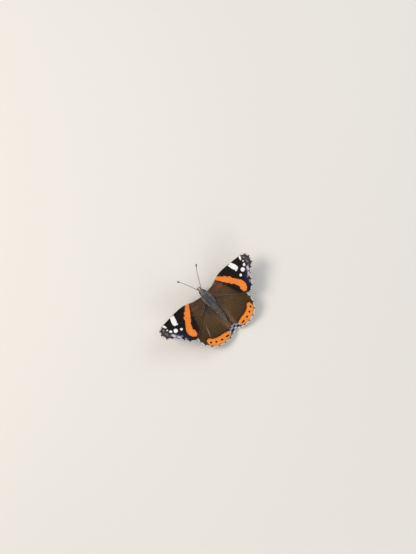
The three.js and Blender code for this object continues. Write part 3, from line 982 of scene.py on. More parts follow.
@dataclass
class Wing:
    """One wing: a thin membrane with its veins raised on both faces, its fringe and the hairs at its root."""

    plan: WingPlan
    side: Side
    stance: Stance
    spread: float = 1.0
    lap: float = 0.0  # how far its inner edge lies over the other side's
    warmth: float = 0.8  # how strongly its root shows the warm colour
    hinge: float = 2.0
    hinge_height: float = -0.2
    dihedral: float = math.radians(10)
    arch_span: float = 34.0
    curl: float = 0.003
    curl_from: float = -3.0
    fold: float = 0.12
    fold_from: float = 3.0
    membrane: float = 0.13
    rim_share: float = 0.45  # of the membrane's thickness, at its rim
    membrane_start: float = 0.02
    membrane_end: float = 0.975  # where it ends along its veins, and the fringe starts
    vein_length: float = 26.0  # about, from root to rim
    ridge: float = 0.09
    under_share: float = 0.7  # of the ridges' height, on the lower face
    ridge_half: float = 0.13
    bay: float = 0.012  # how much shorter the wing is between two veins, as a share
    pleat: float = 0.07
    sunk: float = 0.7  # how deep the root goes into the body
    step: float = 0.3
    rows: int = 96
    fringe_pitch: float = 0.05
    back_row: int = 520  # scales of the fringe on the back edge

    @property
    def name(self) -> str:
        """The name of the wing's node."""
        return f"{self.plan.pair.value}_{self.side.word}"

    def flat_points(self, place: Array, shares: Array) -> Array:
        """Find points on the flat wing.

        Args:
            place: Across the wing, as a count of veins with a share of the way to the next.
            shares: Along the veins, one for each place.

        Returns:
            The points, out and ahead.
        """
        last = len(self.plan.veins) - 1
        index = np.minimum(np.asarray(place).astype(int), last - 1)
        share_across = np.asarray(place) - index
        along = np.asarray(shares) * (1 - self.bay * 4 * share_across * (1 - share_across))
        points = np.zeros((len(index), 2))
        for k in np.unique(index):
            here = index == k
            across = share_across[here, None]
            first = self.plan.vein_points(k, along[here])
            second = self.plan.vein_points(k + 1, along[here])
            points[here] = first * (1 - across) + second * across
        front = (index < self.plan.fringe_from) * smooth(shares, 0.55, 1.0)
        return points + front[:, None] * self.bulge(np.asarray(place))

    def bulge(self, place: Array) -> Array:
        """Measure how far the smooth edge through the veins' ends is outside the straight lines between them.

        Args:
            place: Across the wing.

        Returns:
            The way out to the smooth edge at each place.
        """
        ends = self.plan.ends
        onward = unit(ends[0] - self.plan.vein_points(0, [0.95])[0]) * np.linalg.norm(ends[1] - ends[0])
        knots = np.vstack([ends[1] - 2 * onward, ends])
        curve = curve_through(knots, (place + 1) / (len(knots) - 1))
        straight = [np.interp(place, np.arange(len(ends)), ends[:, k]) for k in (0, 1)]
        return curve - np.column_stack(straight)

    def arch(self, flat: Array) -> Array:
        """Find the height of the wing's middle surface over its flat plane.

        Args:
            flat: Points out and ahead.

        Returns:
            Each point's height.
        """
        out, ahead = flat.T
        along = np.clip((out - self.hinge) / self.arch_span, 0, 1)
        curled = self.curl * (ahead - self.curl_from) ** 2
        folded = self.fold * np.maximum(0, self.fold_from - out) ** 2
        return np.sin(math.pi * along) - curled - folded + self.plan.lift

    def relief(self, place: Array, shares: Array) -> tuple[Array, Array]:
        """Measure the veins and the pleats between them.

        Args:
            place: Across the wing.
            shares: Along the veins.

        Returns:
            How strongly a vein stands at each point, and how deep the pleat is there.
        """
        veins = self.plan.veins
        index = np.minimum(place.astype(int), len(veins) - 2)
        across = place - index
        strength = np.zeros(len(place))
        sag = np.zeros(len(place))
        for k in np.unique(index):
            here = index == k
            share = shares[here]
            first = self.plan.vein_points(k, share)
            second = self.plan.vein_points(k + 1, share)
            room = np.linalg.norm(second - first, axis=1)
            sag[here] = self.pleat * np.sin(math.pi * across[here]) * smooth(room, 0.4, 2.0)
            for vein, part in ((veins[k], across[here]), (veins[k + 1], 1 - across[here])):
                stands = smooth(share, vein.leaves - 0.03, vein.leaves + 0.02) if vein.leaves > 0 else 1.0
                taper = 1.15 - 0.6 * share
                ridge = stands * taper * np.exp(-((part * room / self.ridge_half) ** 2))
                strength[here] = np.maximum(strength[here], ridge)
            if veins[k].name in self.plan.cell_veins and veins[k + 1].name in self.plan.cell_veins:
                gap = (share - self.plan.cell_end - 0.012 * np.sin(math.pi * across[here])) * 27
                strength[here] = np.maximum(strength[here], 0.6 * np.exp(-((gap / self.ridge_half) ** 2)))
        edge = np.exp(-((place / 0.35) ** 2)) if self.plan.pair is Pair.FORE else np.zeros(len(place))
        return np.maximum(strength, 1.3 * edge), sag

    def raise_points(self, flat: Array, height: Array) -> Array:
        """Turn flat points with a height into the frame of the part.

        Args:
            flat: Points out and ahead.
            height: Each point's height over the wing's flat plane.

        Returns:
            The points in the frame.
        """
        lapped = smooth(-flat[:, 1], 11.0, 16.0) * smooth(-flat[:, 0], -2.6, 0.4)
        rooted = smooth(-flat[:, 0], -2.6, -1.5) * smooth(flat[:, 1], -4.0, -3.0)
        out = (flat[:, 0] - self.hinge) * self.spread - self.lap * lapped - self.sunk * rooted
        height = height + 0.6 * self.lap * lapped
        cosine, sine = math.cos(self.dihedral), math.sin(self.dihedral)
        x = self.side.value * (self.hinge + out * cosine - height * sine)
        z = self.hinge_height + out * sine + height * cosine
        return self.stance.place(np.column_stack([x, flat[:, 1], z]))

    def height(self, place: Array, shares: Array, flat: Array) -> Array:
        """Find the height of the membrane's middle, with its pleats and the droop of its back edge.

        Args:
            place: Across the wing.
            shares: Along the veins.
            flat: The same points, out and ahead.

        Returns:
            Each point's height over the wing's flat plane.
        """
        _, sag = self.relief(place, shares)
        back = smooth(place, 0.55 * len(self.plan.veins), len(self.plan.veins) - 1.0)
        return self.arch(flat) - sag - self.plan.droop * back * smooth(flat[:, 0], 2.5, 8.0)

    def over_middle(self, place: Array, shares: Array, over: Array) -> Array:
        """Find points over the membrane's middle, in the frame of the part.

        Args:
            place: Across the wing.
            shares: Along the veins.
            over: How far over the middle.

        Returns:
            The points in the frame.
        """
        flat = self.flat_points(place, shares)
        return self.raise_points(flat, self.height(place, shares, flat) + over)

    def columns(self) -> Array:
        """Space the mesh's columns, evenly fine at the margin and with one on every vein.

        Returns:
            Each column's place across the wing.
        """
        places = []
        ends = self.plan.ends
        for k in range(len(ends) - 1):
            room = np.linalg.norm(ends[k + 1] - ends[k])
            count = max(4, math.ceil(room / self.step))
            even = np.arange(count) / count
            places.append(k + even - 0.35 * np.sin(2 * math.pi * even) / (2 * math.pi))
        return np.append(np.concatenate(places), len(ends) - 1)

    def build(self, finish: Material) -> Piece:
        """Make the membrane and let it stand for its solid.

        Args:
            finish: The scales' material.

        Returns:
            The wing.
        """
        columns = self.columns()
        start = self.membrane_start
        shares = start + (self.membrane_end - start) * np.linspace(0, 1, self.rows)
        place, share = (grid.ravel() for grid in np.meshgrid(columns, shares, indexing="ij"))
        flat = self.flat_points(place, share)
        strength, _ = self.relief(place, share)
        half = self.membrane / 2
        rim = (share > shares[-2]) | (place == columns[0]) | (place == columns[-1])
        half = np.where(rim, half * self.rim_share, half)
        upper = self.over_middle(place, share, half + self.ridge * strength)
        under = self.over_middle(place, share, -half - self.under_share * self.ridge * strength)
        points = np.vstack([upper, under])
        faces, rim_quads = self.sheet_faces(len(columns))
        fields = self.fields(place, share, flat, strength)
        corners = faces.copy()
        corners[-rim_quads:] %= len(place)
        spots = self.unwrap(flat)[corners.ravel()]
        piece = add_piece(self.name + "_membrane", points, faces, finish, fields, spots)
        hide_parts(self.name)
        return piece

    def sheet_faces(self, columns: int) -> tuple[Array, int]:
        """List the quads of both faces and of the rim between them.

        Args:
            columns: How many columns the mesh has.

        Returns:
            The quads, with those of the rim last, and how many the rim has.
        """
        rows = self.rows
        count = columns * rows  # of each face's corners
        a = (np.arange(columns - 1)[:, None] * rows + np.arange(rows - 1)[None]).ravel()
        upper = np.column_stack([a, a + 1, a + rows + 1, a + rows])
        border = np.concatenate([
            np.arange(rows - 1),
            np.arange(columns - 1) * rows + rows - 1,
            (columns - 1) * rows + np.arange(rows - 1, 0, -1),
            np.arange(columns - 1, 0, -1) * rows,
        ])
        following = np.roll(border, -1)
        rim = np.column_stack([border, border + count, following + count, following])
        faces = np.vstack([upper, upper[:, ::-1] + count, rim])
        return faces[:, ::-1] if self.side is Side.RIGHT else faces, len(rim)

    def unwrap(self, flat: Array) -> Array:
        """Lay both faces side by side on the unwrap, each in its own half.

        Args:
            flat: Points out and ahead.

        Returns:
            The places of the upper face's points, and then those of the lower face's.
        """
        low = flat.min(axis=0) - 0.5
        size = (flat.max(axis=0) + 0.5 - low).max() * 1.02
        spot = (flat - low) / size
        first = np.column_stack([spot[:, 0], spot[:, 1] * 0.5 / max(spot[:, 1].max(), 0.5)])
        if spot[:, 0].max() < spot[:, 1].max():
            first = np.column_stack([spot[:, 1], spot[:, 0] * 0.5 / max(spot[:, 0].max(), 0.5)])
        return np.vstack([first * 0.98 + 0.005, first * 0.98 + [0.005, 0.5]])

    def fields(self, place: Array, share: Array, flat: Array, strength: Array) -> dict[str, Array]:
        """Store what the scales' colours are painted from, for both faces.

        Args:
            place: Across the wing.
            share: Along the veins.
            flat: The same points, out and ahead.
            strength: How strongly a vein stands at each point.

        Returns:
            Each field by name.
        """
        root = np.array([1.2, 1.0 if self.plan.pair is Pair.FORE else -2.0])
        away = flat - root
        reach = np.linalg.norm(away, axis=1)
        level = np.zeros(len(place))
        rows = np.column_stack([reach, place * 2.4 * (0.3 + share), level])
        beside = np.abs(place - np.round(place))
        to_end = np.min([np.linalg.norm(flat - end, axis=1) for end in self.plan.ends[1:-1]], axis=0)
        beyond = (share - self.membrane_end) * self.vein_length  # the rim, in millimetres
        margin = np.maximum(beyond + 0.22, 0.62 - to_end)
        line = 0.2 - np.abs(beyond + 1.35) - 0.5 * smooth(0.2 - beside, 0.0, 0.15)
        both = {
            "place": np.column_stack([flat, level]),
            "rows": rows,
            "reach": reach,
            "vein": strength,
            "rim": margin,
            "line": line - 3.0 * smooth(place, 9.5, 10.5) - 3.0 * smooth(-place, -4.6, -4.0),
            "costa": 0.55 - place - 4.0 * smooth(reach, 9.0, 12.0),
            "warm": self.warmth * smooth(stroke_field(flat, self.plan.warm), -1.3, 0.8),
        }
        fields = {key: np.concatenate([value, value]) for key, value in both.items()}
        fields["under"] = np.concatenate([level, level + 1])
        for key in sorted(set(self.plan.upper) | set(self.plan.under)):
            faces = [self.plan.upper.get(key, ()), self.plan.under.get(key, ())]
            if key == "crease" and self.side is Side.RIGHT:  # only the left hind wing shows this painted highlight, a pale streak along a fold
                faces = [(), ()]
            fields[key] = np.concatenate([stroke_field(flat, strokes) for strokes in faces])
        return fields

    def build_fringe(self, finish: Material, rng: Random) -> Piece:
        """Set two layers of narrow scales along the outer margin and a shorter row along the back edge.

        Args:
            finish: The fringe's material.
            rng: The source of its small differences.

        Returns:
            The fringe.
        """
        last = len(self.plan.veins) - 1
        ends = self.plan.ends
        outer = []
        for k in range(self.plan.fringe_from, last):
            count = int(np.linalg.norm(ends[k + 1] - ends[k]) / self.fringe_pitch)
            outer.append(k + (np.arange(count) + 0.5) / count)
        place = np.concatenate(outer * 2)
        place = np.clip(place + rng.normal(0, 0.01, len(place)), self.plan.fringe_from, last)
        outer_count = len(place)
        back = slice(outer_count, None)
        place = np.append(place, np.full(self.back_row, float(last)))
        share = np.full(len(place), self.membrane_end - 0.006)
        share[back] = rng.uniform(0.16, self.membrane_end, self.back_row)
        flat = self.flat_points(place, share)
        beyond = unit(self.flat_points(place, share + 0.02) - flat)
        beside = self.flat_points(np.clip(place + 0.02, 0, last), share)
        beside -= self.flat_points(np.clip(place - 0.02, 0, last), share)
        normal = unit(np.column_stack([-beside[:, 1], beside[:, 0]]))
        normal *= np.sign(np.sum(normal * beyond, axis=1, keepdims=True))
        lean = 0.45 * normal + beyond
        lean[back] = unit(beside[back]) + beyond[back] + rng.normal(0, 0.25, (self.back_row, 2))
        lean = unit(lean + rng.normal(0, 0.1, flat.shape))
        height = self.height(place, share, flat)
        gap = np.abs(place - np.floor(place) - 0.5)
        pale = np.where(gap < self.plan.fringe_pale, 0.92, 0.08) + rng.normal(0, 0.07, len(place))
        length = (0.84 - 0.42 * smooth(gap, 0.3, 0.5)) * rng.uniform(0.8, 1.15, len(place))
        pale[back] = self.plan.back_pale + rng.normal(0, 0.12, self.back_row)
        length[back] *= rng.uniform(0.35, 0.8, self.back_row)
        layer = np.where(np.arange(len(place)) < outer_count // 2, 0.03, -0.03)
        roots = self.raise_points(flat, height + layer)
        tips = self.raise_points(flat + lean, height + layer - 0.12)
        direction = unit(tips - roots)
        broad = np.cross(direction, self.stance.upward)
        spot = self.unwrap(flat)[: len(place)] * 0.98
        tufts = Tufts(flatness=0.25, sink=0.0)
        width = rng.uniform(0.12, 0.19, len(place))
        width[back] *= 0.6
        points, faces, along, spots = tufts.grow(roots, direction, direction, broad, length, width, spot)
        fields = tufts.fields(along, pale)
        return add_piece(self.name + "_fringe", points, faces, finish, fields, spots)

    def build_hair(self, finish: Material, rng: Random) -> Piece:
        """Lay long fine hairs along the veins near the root, and over the hind wing's inner part.

        Args:
            finish: The hair's material.
            rng: The source of its small differences.

        Returns:
            The hair.
        """
        last = len(self.plan.veins) - 1
        count = self.plan.hairs
        fore = self.plan.pair is Pair.FORE
        place = rng.uniform(0.2, last - 0.1, count)
        if fore:
            place[: count // 5] = rng.uniform(0, 0.35, count // 5)
        else:
            place = last - (last - 0.3) * rng.uniform(0, 1, count) ** 1.9
        inner = smooth(place, last - 3.5, last - 0.5)
        reach = 0.3 + (0.12 if fore else 0.5) * inner
        share = 0.06 + (reach - 0.06) * rng.uniform(0, 1, count) ** 1.4
        face = np.where(rng.uniform(0, 1, count) < 0.7, 1.0, -1.0)
        roots = self.over_middle(place, share, face * self.membrane / 2)
        onward = unit(self.over_middle(place, share + 0.03, face * self.membrane / 2) - roots)
        upward = unit(self.stance.upward) * face[:, None]
        lift = rng.uniform(0.1, 0.34, count)[:, None]
        rise = unit(onward + upward * lift + rng.normal(0, 0.07, roots.shape))
        lie = unit(onward - upward * 0.04 + rng.normal(0, 0.06, roots.shape))
        length = rng.uniform(0.9, 1.9, count) * (1 - 0.35 * (share / 0.8))
        width = rng.uniform(0.045, 0.075, count)
        broad = np.cross(rise, upward)
        spot = self.unwrap(self.flat_points(place, share))[:count] * 0.98
        tufts = Tufts(flatness=0.6, sink=0.03)
        points, faces, along, spots = tufts.grow(roots, rise, lie, broad, length, width, spot)
        fields = tufts.fields(along, rng.normal(0.42, 0.16, count) + 0.08 * inner)
        return add_piece(self.name + "_hair", points, faces, finish, fields, spots)


@dataclass(frozen=True)
class Lobe:
    """A rounded lobe of the body: its middle on the right side, its thickness and how blunt its ends are."""

    run: Stroke
    radius: float
    blunt: tuple[float, float]
    steps: int
    sides: int = 16

    def mesh(self, side: Side) -> Mesh:
        """Make the lobe on one side.

        Args:
            side: Which one.

        Returns:
            Its corners in the body's frame and its triangles.
        """
        run = np.array(self.run) * [side.value, 1, 1]
        places = np.linspace(0, 1, self.steps)
        start, span = self.blunt
        swell = np.sin(math.pi * (start + span * places)) ** 0.5
        return tube(curve_through(run, places), self.radius * swell, self.sides)


PALP = Lobe(
    ((0.55, 4.9, -1.2), (0.62, 6.0, -1.35), (0.6, 7.05, -1.05), (0.5, 8.0, -0.4)), 0.3, (0.12, 0.85), 40
)
SHOULDER = Lobe(  # the flap of skin over the root of the fore wing
    ((0.85, 3.0, 1.05), (1.45, 2.2, 1.45), (1.7, 1.1, 1.5), (1.6, 0.1, 1.25)), 0.5, (0.06, 0.88), 30
)


@dataclass
class Trunk:
    """Head, thorax, abdomen and palps as one seamless skin, inside their solids by the depth of the coat.

    Each station has its place ahead, its half width, its height above and below its middle, and its middle's
    height.
    """

    stance: Stance
    stations: tuple[tuple[float, float, float, float, float], ...] = (
        (-14.45, 0.05, 0.05, 0.05, -0.62),
        (-14.1, 0.5, 0.45, 0.42, -0.6),
        (-13.0, 1.0, 0.92, 0.85, -0.45),
        (-11.0, 1.42, 1.3, 1.22, -0.2),
        (-8.5, 1.62, 1.5, 1.42, 0.0),
        (-6.0, 1.58, 1.45, 1.4, 0.06),
        (-4.5, 1.3, 1.22, 1.2, 0.1),
        (-3.4, 1.35, 1.36, 1.3, 0.06),
        (-2.2, 1.8, 1.8, 1.8, 0.02),
        (0.0, 2.02, 2.05, 2.1, 0.06),
        (1.7, 1.8, 1.9, 1.95, 0.04),
        (2.9, 1.25, 1.35, 1.4, -0.06),
        (3.5, 0.95, 0.98, 1.0, -0.18),
        (4.0, 1.1, 1.15, 1.15, -0.25),
        (4.85, 1.2, 1.32, 1.32, -0.26),
        (5.6, 1.0, 1.12, 1.16, -0.28),
        (6.1, 0.5, 0.6, 0.65, -0.3),
        (6.25, 0.05, 0.05, 0.05, -0.3),
    )
    palp: Lobe = PALP
    shoulder: Lobe = SHOULDER
    waist: float = -2.5
    abdomen: float = 12.2
    bend: float = -0.5
    rings: int = 8
    first_ring: float = 0.14
    ringed: float = 0.84
    ring_depth: float = 0.15
    sides: int = 64
    steps: int = 260
    voxel: float = 0.09
    skin: Mesh = field(init=False)  # once it is built

    def along_abdomen(self, ahead: Array) -> tuple[Array, Array]:
        """Find how far along the abdomen each place ahead lies, and how many of its rings end before it."""
        share = np.clip((self.waist - np.asarray(ahead)) / self.abdomen, 0, 1)
        return share, (share - self.first_ring) * self.rings / self.ringed

    def middle(self, ahead: Array) -> Array:
        """Find how far the body's middle is bent sideways at each place ahead."""
        return self.bend * self.along_abdomen(ahead)[0] ** 1.3

    def girth(self, ahead: Array) -> Array:
        """Find how thick the body is.

        Args:
            ahead: Places ahead.

        Returns:
            The half width, the heights above and below the middle, and the middle's height at each.
        """
        table = np.array(self.stations)
        dense = curve_through(table, np.linspace(0, 1, 400))
        order = np.argsort(dense[:, 0])
        sizes = np.column_stack([np.interp(ahead, dense[order, 0], dense[order, k]) for k in range(1, 5)])
        share, ring = self.along_abdomen(ahead)
        step = np.where((ring > 0) & (ring < self.rings), (ring - np.floor(ring)) ** 3, 0.0)
        sizes[:, :3] -= (self.ring_depth * step * smooth(share, 0.1, 0.2))[:, None]
        return sizes

    def loft(self) -> Mesh:
        """Make the body's own closed tube.

        Returns:
            Its corners in the body's frame and its triangles.
        """
        first, last = self.stations[0][0], self.stations[-1][0]
        ahead = first + (last - first) * (1 - np.cos(np.linspace(0, math.pi, self.steps))) / 2
        sizes = self.girth(ahead)
        angle = np.linspace(0, 2 * math.pi, self.sides, endpoint=False)
        lift = np.sin(angle)[None]
        reach = np.where(lift > 0, sizes[:, 1:2], sizes[:, 2:3])
        x = self.middle(ahead)[:, None] + sizes[:, :1] * np.cos(angle)[None]
        z = sizes[:, 3:4] + reach * lift
        y = np.repeat(ahead[:, None], self.sides, axis=1)
        points = np.stack([x, y, z], axis=2).reshape(-1, 3)
        return points, tube_faces(self.steps, self.sides)

    def build(self, finish: Material) -> Piece:
        """Fuse the pieces of the body into one skin.

        Args:
            finish: The skin's material.

        Returns:
            The skin.
        """
        parts = [self.loft()]
        for side in Side:
            parts += [self.palp.mesh(side), self.shoulder.mesh(side)]
        points, faces = join(parts)
        mesh = bpy.data.meshes.new("fused_body")
        mesh.from_pydata(points.tolist(), [], faces.tolist())
        fused = add_object("fused_body", mesh)
        remesh = fused.modifiers.new("fuse", "REMESH")
        remesh.mode = "VOXEL"
        remesh.voxel_size = self.voxel
        even = fused.modifiers.new("even", "SMOOTH")
        even.factor = 0.5
        even.iterations = 4
        result = fused.evaluated_get(bpy.context.evaluated_depsgraph_get()).to_mesh()
        result.calc_loop_triangles()
        corners = np.empty((len(result.vertices), 3))
        result.vertices.foreach_get("co", corners.ravel())
        triangles = np.empty((len(result.loop_triangles), 3), dtype=np.int32)
        result.loop_triangles.foreach_get("vertices", triangles.ravel())
        bpy.data.objects.remove(fused)
        self.skin = (corners, triangles)
        fields = {"paleness": 0.25 + 0.25 * smooth(-corners[:, 2], 0.2, 1.4)}
        piece = add_piece("body_skin", self.stance.place(corners), triangles, finish, fields)
        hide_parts("head", "thorax", "abdomen", "palp_left", "palp_right")
        return piece

    def roots(self, rng: Random, count: int, behind: float, before: float) -> Mesh:
        """Scatter roots evenly over a stretch of the skin.

        Args:
            rng: The source of the scatter.
            count: How many.
            behind: How far ahead the stretch starts.
            before: How far ahead it ends.

        Returns:
            The roots and the skin's directions there, in the body's frame.
        """
        corners, triangles = self.skin
        ahead = corners[triangles, 1].mean(axis=1)
        triangles = triangles[(ahead > behind) & (ahead < before)]
        a, b, c = (corners[triangles[:, k]] for k in range(3))
        normal = np.cross(b - a, c - a)
        area = np.linalg.norm(normal, axis=1)
        chosen = rng.choice(len(area), count, p=area / area.sum())
        u, v = rng.uniform(0, 1, (2, count, 1))
        flip = u + v > 1
        u, v = np.where(flip, 1 - u, u), np.where(flip, 1 - v, v)
        points = a[chosen] + u * (b - a)[chosen] + v * (c - a)[chosen]
        return points, unit(normal[chosen])

    def unwrap(self, points: Array) -> Array:
        """Find places on the skin's unwrap: along the body, and round it."""
        angle = np.arctan2(points[:, 2], points[:, 0] - self.middle(points[:, 1]))
        return np.column_stack([(points[:, 1] + 15) / 24, angle / (2 * math.pi) + 0.5]) * 0.98 + 0.01


def tube_faces(rings: int, sides: int) -> Array:
    """List the triangles of a closed tube whose corners run ring by ring.

    Args:
        rings: How many rings.
        sides: How many corners a ring has.

    Returns:
        The triangles, with a flat fan over each end.
    """
    k = np.arange(sides)
    following = (k + 1) % sides
    faces = []
    for ring in range(rings - 1):
        a, b = ring * sides + k, ring * sides + following
        faces += [np.column_stack([a, b, b + sides]), np.column_stack([a, b + sides, a + sides])]
    fan = np.arange(1, sides - 1)
    last = (rings - 1) * sides
    faces.append(np.column_stack([np.zeros_like(fan), fan + 1, fan]))
    faces.append(np.column_stack([np.full_like(fan, last), last + fan, last + fan + 1]))
    return np.vstack(faces)


def tube(path: Array, radius: Array, sides: int, flatness: float = 1.0, first: float = 0.5) -> Mesh:
    """Make a closed tube along a path.

    Args:
        path: Points along its middle.
        radius: Its radius at each point.
        sides: How many sides it has.
        flatness: Its thickness as a share of its width.
        first: Where the first corner of a ring is, as a share of a side.

    Returns:
        Its corners and its triangles, which face outward.
    """
    along = unit(np.gradient(path, axis=0))
    steep = np.abs(along[:, 2]).max() > 0.95
    across = np.tile([1.0, 0.0, 0.0], (len(path), 1)) if steep else unit(np.cross(along, [0.0, 0.0, 1.0]))
    over = unit(np.cross(across, along))
    angle = 2 * math.pi * (np.arange(sides) + first) / sides
    wide, high = np.outer(radius, np.cos(angle)), np.outer(radius, np.sin(angle) * flatness)
    rings = path[:, None] + across[:, None] * wide[..., None] + over[:, None] * high[..., None]
    faces = tube_faces(len(path), sides)
    points = rings.reshape(-1, 3)
    a, b, c = (points[faces[:, k]] for k in range(3))
    if np.sum(a * np.cross(b, c)) - np.sum(path.mean(axis=0) * np.cross(b - a, c - a).sum(axis=0)) < 0:
        faces = faces[:, ::-1]
    return points, faces


def join(parts: list[Mesh]) -> Mesh:
    """Join meshes into one.

    Args:
        parts: The corners and triangles of each.

    Returns:
        All corners and all triangles.
    """
    starts = np.cumsum([0] + [len(points) for points, _ in parts[:-1]])
    faces = [faces + start for (_, faces), start in zip(parts, starts)]
    return np.vstack([points for points, _ in parts]), np.vstack(faces)


@dataclass(frozen=True)
class CoatArea:
    """One area of the coat: where it grows along the body, and its hairs' count, size, lift and paleness."""

    name: str
    behind: float
    before: float
    count: int
    length: tuple[float, float]
    width: float
    lift: float
    back: float  # how strongly its hairs lie toward the tail, below 0 toward the head
    paleness: tuple[float, float]
    rings: int = 3


COAT = (
    CoatArea("abdomen", -14.6, -4.2, 10500, (0.35, 0.58), 0.1, 0.12, 1.0, (0.42, 0.66), 2),
    CoatArea("thorax", -4.4, 3.3, 9500, (0.9, 1.55), 0.07, 0.62, 0.85, (0.36, 0.6)),
    CoatArea("head", 3.2, 6.3, 5200, (0.26, 0.55), 0.045, 0.6, -0.8, (0.66, 0.84)),
    CoatArea("palps", 6.2, 8.4, 2200, (0.22, 0.42), 0.05, 0.45, -1.0, (0.45, 0.98)),
)


@dataclass
class Coat:
    """The hair of the body, in areas that differ in length and lie."""

    trunk: Trunk
    stance: Stance

    def build(self, area: CoatArea, finish: Material, rng: Random) -> Piece:
        """Grow one area of the coat.

        Args:
            area: The area.
            finish: The hair's material.
            rng: The source of its small differences.

        Returns:
            The hair of that area.
        """
        roots, normal = self.trunk.roots(rng, area.count, area.behind, area.before)
        if area.name == "head":
            eyes = Eyes(self.stance)
            clear = ~(eyes.hold(roots, Side.LEFT) | eyes.hold(roots, Side.RIGHT))
            roots, normal = roots[clear], normal[clear]
        count = len(roots)
        backward = np.tile([0.0, -1.0, 0.0], (count, 1)) * area.back
        outward = np.clip(roots[:, 0] / 1.2 + rng.normal(0, 0.25, count), -1, 1)
        outward *= 0.2 + 0.4 * (area.name == "thorax")
        sideways = np.column_stack([outward, np.zeros(count), np.zeros(count)])
        lie = backward + sideways + rng.normal(0, 0.16, roots.shape)
        lie -= normal * np.sum(lie * normal, axis=1, keepdims=True)
        lie = unit(lie)
        rise = unit(normal * area.lift + lie * (1 - 0.4 * area.lift) + rng.normal(0, 0.1, roots.shape))
        lie = unit(lie + normal * (0.2 * area.lift))
        length = rng.uniform(*area.length, count)
        if area.name == "thorax":
            length *= 1 - 0.3 * smooth(normal[:, 2], 0.3, 0.8)
        width = area.width * rng.uniform(0.7, 1.25, count)
        broad = np.cross(rise, normal + rng.normal(0, 0.2, roots.shape))
        tufts = Tufts(rings=area.rings, flatness=0.5)
        spot = self.trunk.unwrap(roots)
        points, faces, along, spots = tufts.grow(roots, rise, lie, broad, length, width, spot)
        pale = self.paleness(area, roots, normal) + rng.normal(0, 0.11, count)
        fields = tufts.fields(along, pale)
        return add_piece("coat_" + area.name, self.stance.place(points), faces, finish, fields, spots)

    def paleness(self, area: CoatArea, roots: Array, normal: Array) -> Array:
        """Work out how pale each hair is: paler below, and at the hind edge of each ring of the abdomen.

        Args:
            area: The area of the coat.
            roots: The hairs' roots.
            normal: The skin's directions there.

        Returns:
            Each hair's paleness.
        """
        dark, pale = area.paleness
        below = smooth(-normal[:, 2], -0.3, 0.7)
        level = dark + (pale - dark) * below
        if area.name == "abdomen":
            share, ring = self.trunk.along_abdomen(roots[:, 1])
            ring -= np.floor(ring)
            level += 0.3 * smooth(ring, 0.7, 0.92) - 0.12 * smooth(-ring, -0.3, 0.0)
            level += 0.24 * smooth(share, 0.84, 1.0)
        if area.name == "thorax":
            aside = np.abs(roots[:, 0])
            level += 0.5 * smooth(aside, 0.95, 1.6) * smooth(normal[:, 2], -0.5, 0.1)
            level -= 0.24 * np.exp(-(((aside - 0.95) / 0.3) ** 2)) * smooth(normal[:, 2], 0.2, 0.6)
            level += 0.2 * smooth(roots[:, 1], 1.9, 3.2) + 0.16 * smooth(-roots[:, 1], 2.4, 3.6)
        if area.name == "head":
            level -= 0.16 * smooth(0.5 - np.abs(roots[:, 0]), 0.1, 0.45) * smooth(normal[:, 2], 0.4, 0.9)
        if area.name == "palps":
            level = np.where((normal[:, 2] > 0.5) & (np.abs(np.abs(roots[:, 0]) - 0.6) < 0.2), dark, pale)
        return level


@dataclass
class Eyes:
    """The two compound eyes, ellipsoids set deep in the sides of the head."""

    stance: Stance
    out: float = 0.94
    ahead: float = 5.0
    drop: float = 0.2
    sizes: tuple[float, float, float] = (0.72, 0.98, 1.08)
    rings: int = 48
    sides: int = 72
    pole: float = 0.04  # the angle of the small flat at each pole

    def middle(self, side: Side) -> Array:
        """Find one eye's middle."""
        return np.array([side.value * self.out, self.ahead, -self.drop])

    def hold(self, points: Array, side: Side) -> Array:
        """Tell which points lie inside one eye."""
        return np.linalg.norm((points - self.middle(side)) / self.sizes, axis=1) < 1.0

    def build(self, side: Side, finish: Material) -> Piece:
        """Make one eye.

        Args:
            side: Which one.
            finish: Its material.

        Returns:
            The eye.
        """
        polar = np.repeat(np.linspace(self.pole, math.pi - self.pole, self.rings), self.sides)
        turn = np.tile(np.linspace(0, 2 * math.pi, self.sides, endpoint=False), self.rings)
        ball = np.column_stack([np.sin(polar) * np.cos(turn), np.sin(polar) * np.sin(turn), np.cos(polar)])
        points = ball * self.sizes + self.middle(side)
        faces = tube_faces(self.rings, self.sides)[:, ::-1]
        band = 0.35 + 0.25 * np.sin(ball[:, 2] * 7.0)
        name = f"eye_{side.word}"
        piece = add_piece(name + "_lens", self.stance.place(points), faces, finish, {"paleness": band})
        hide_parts(name)
        return piece


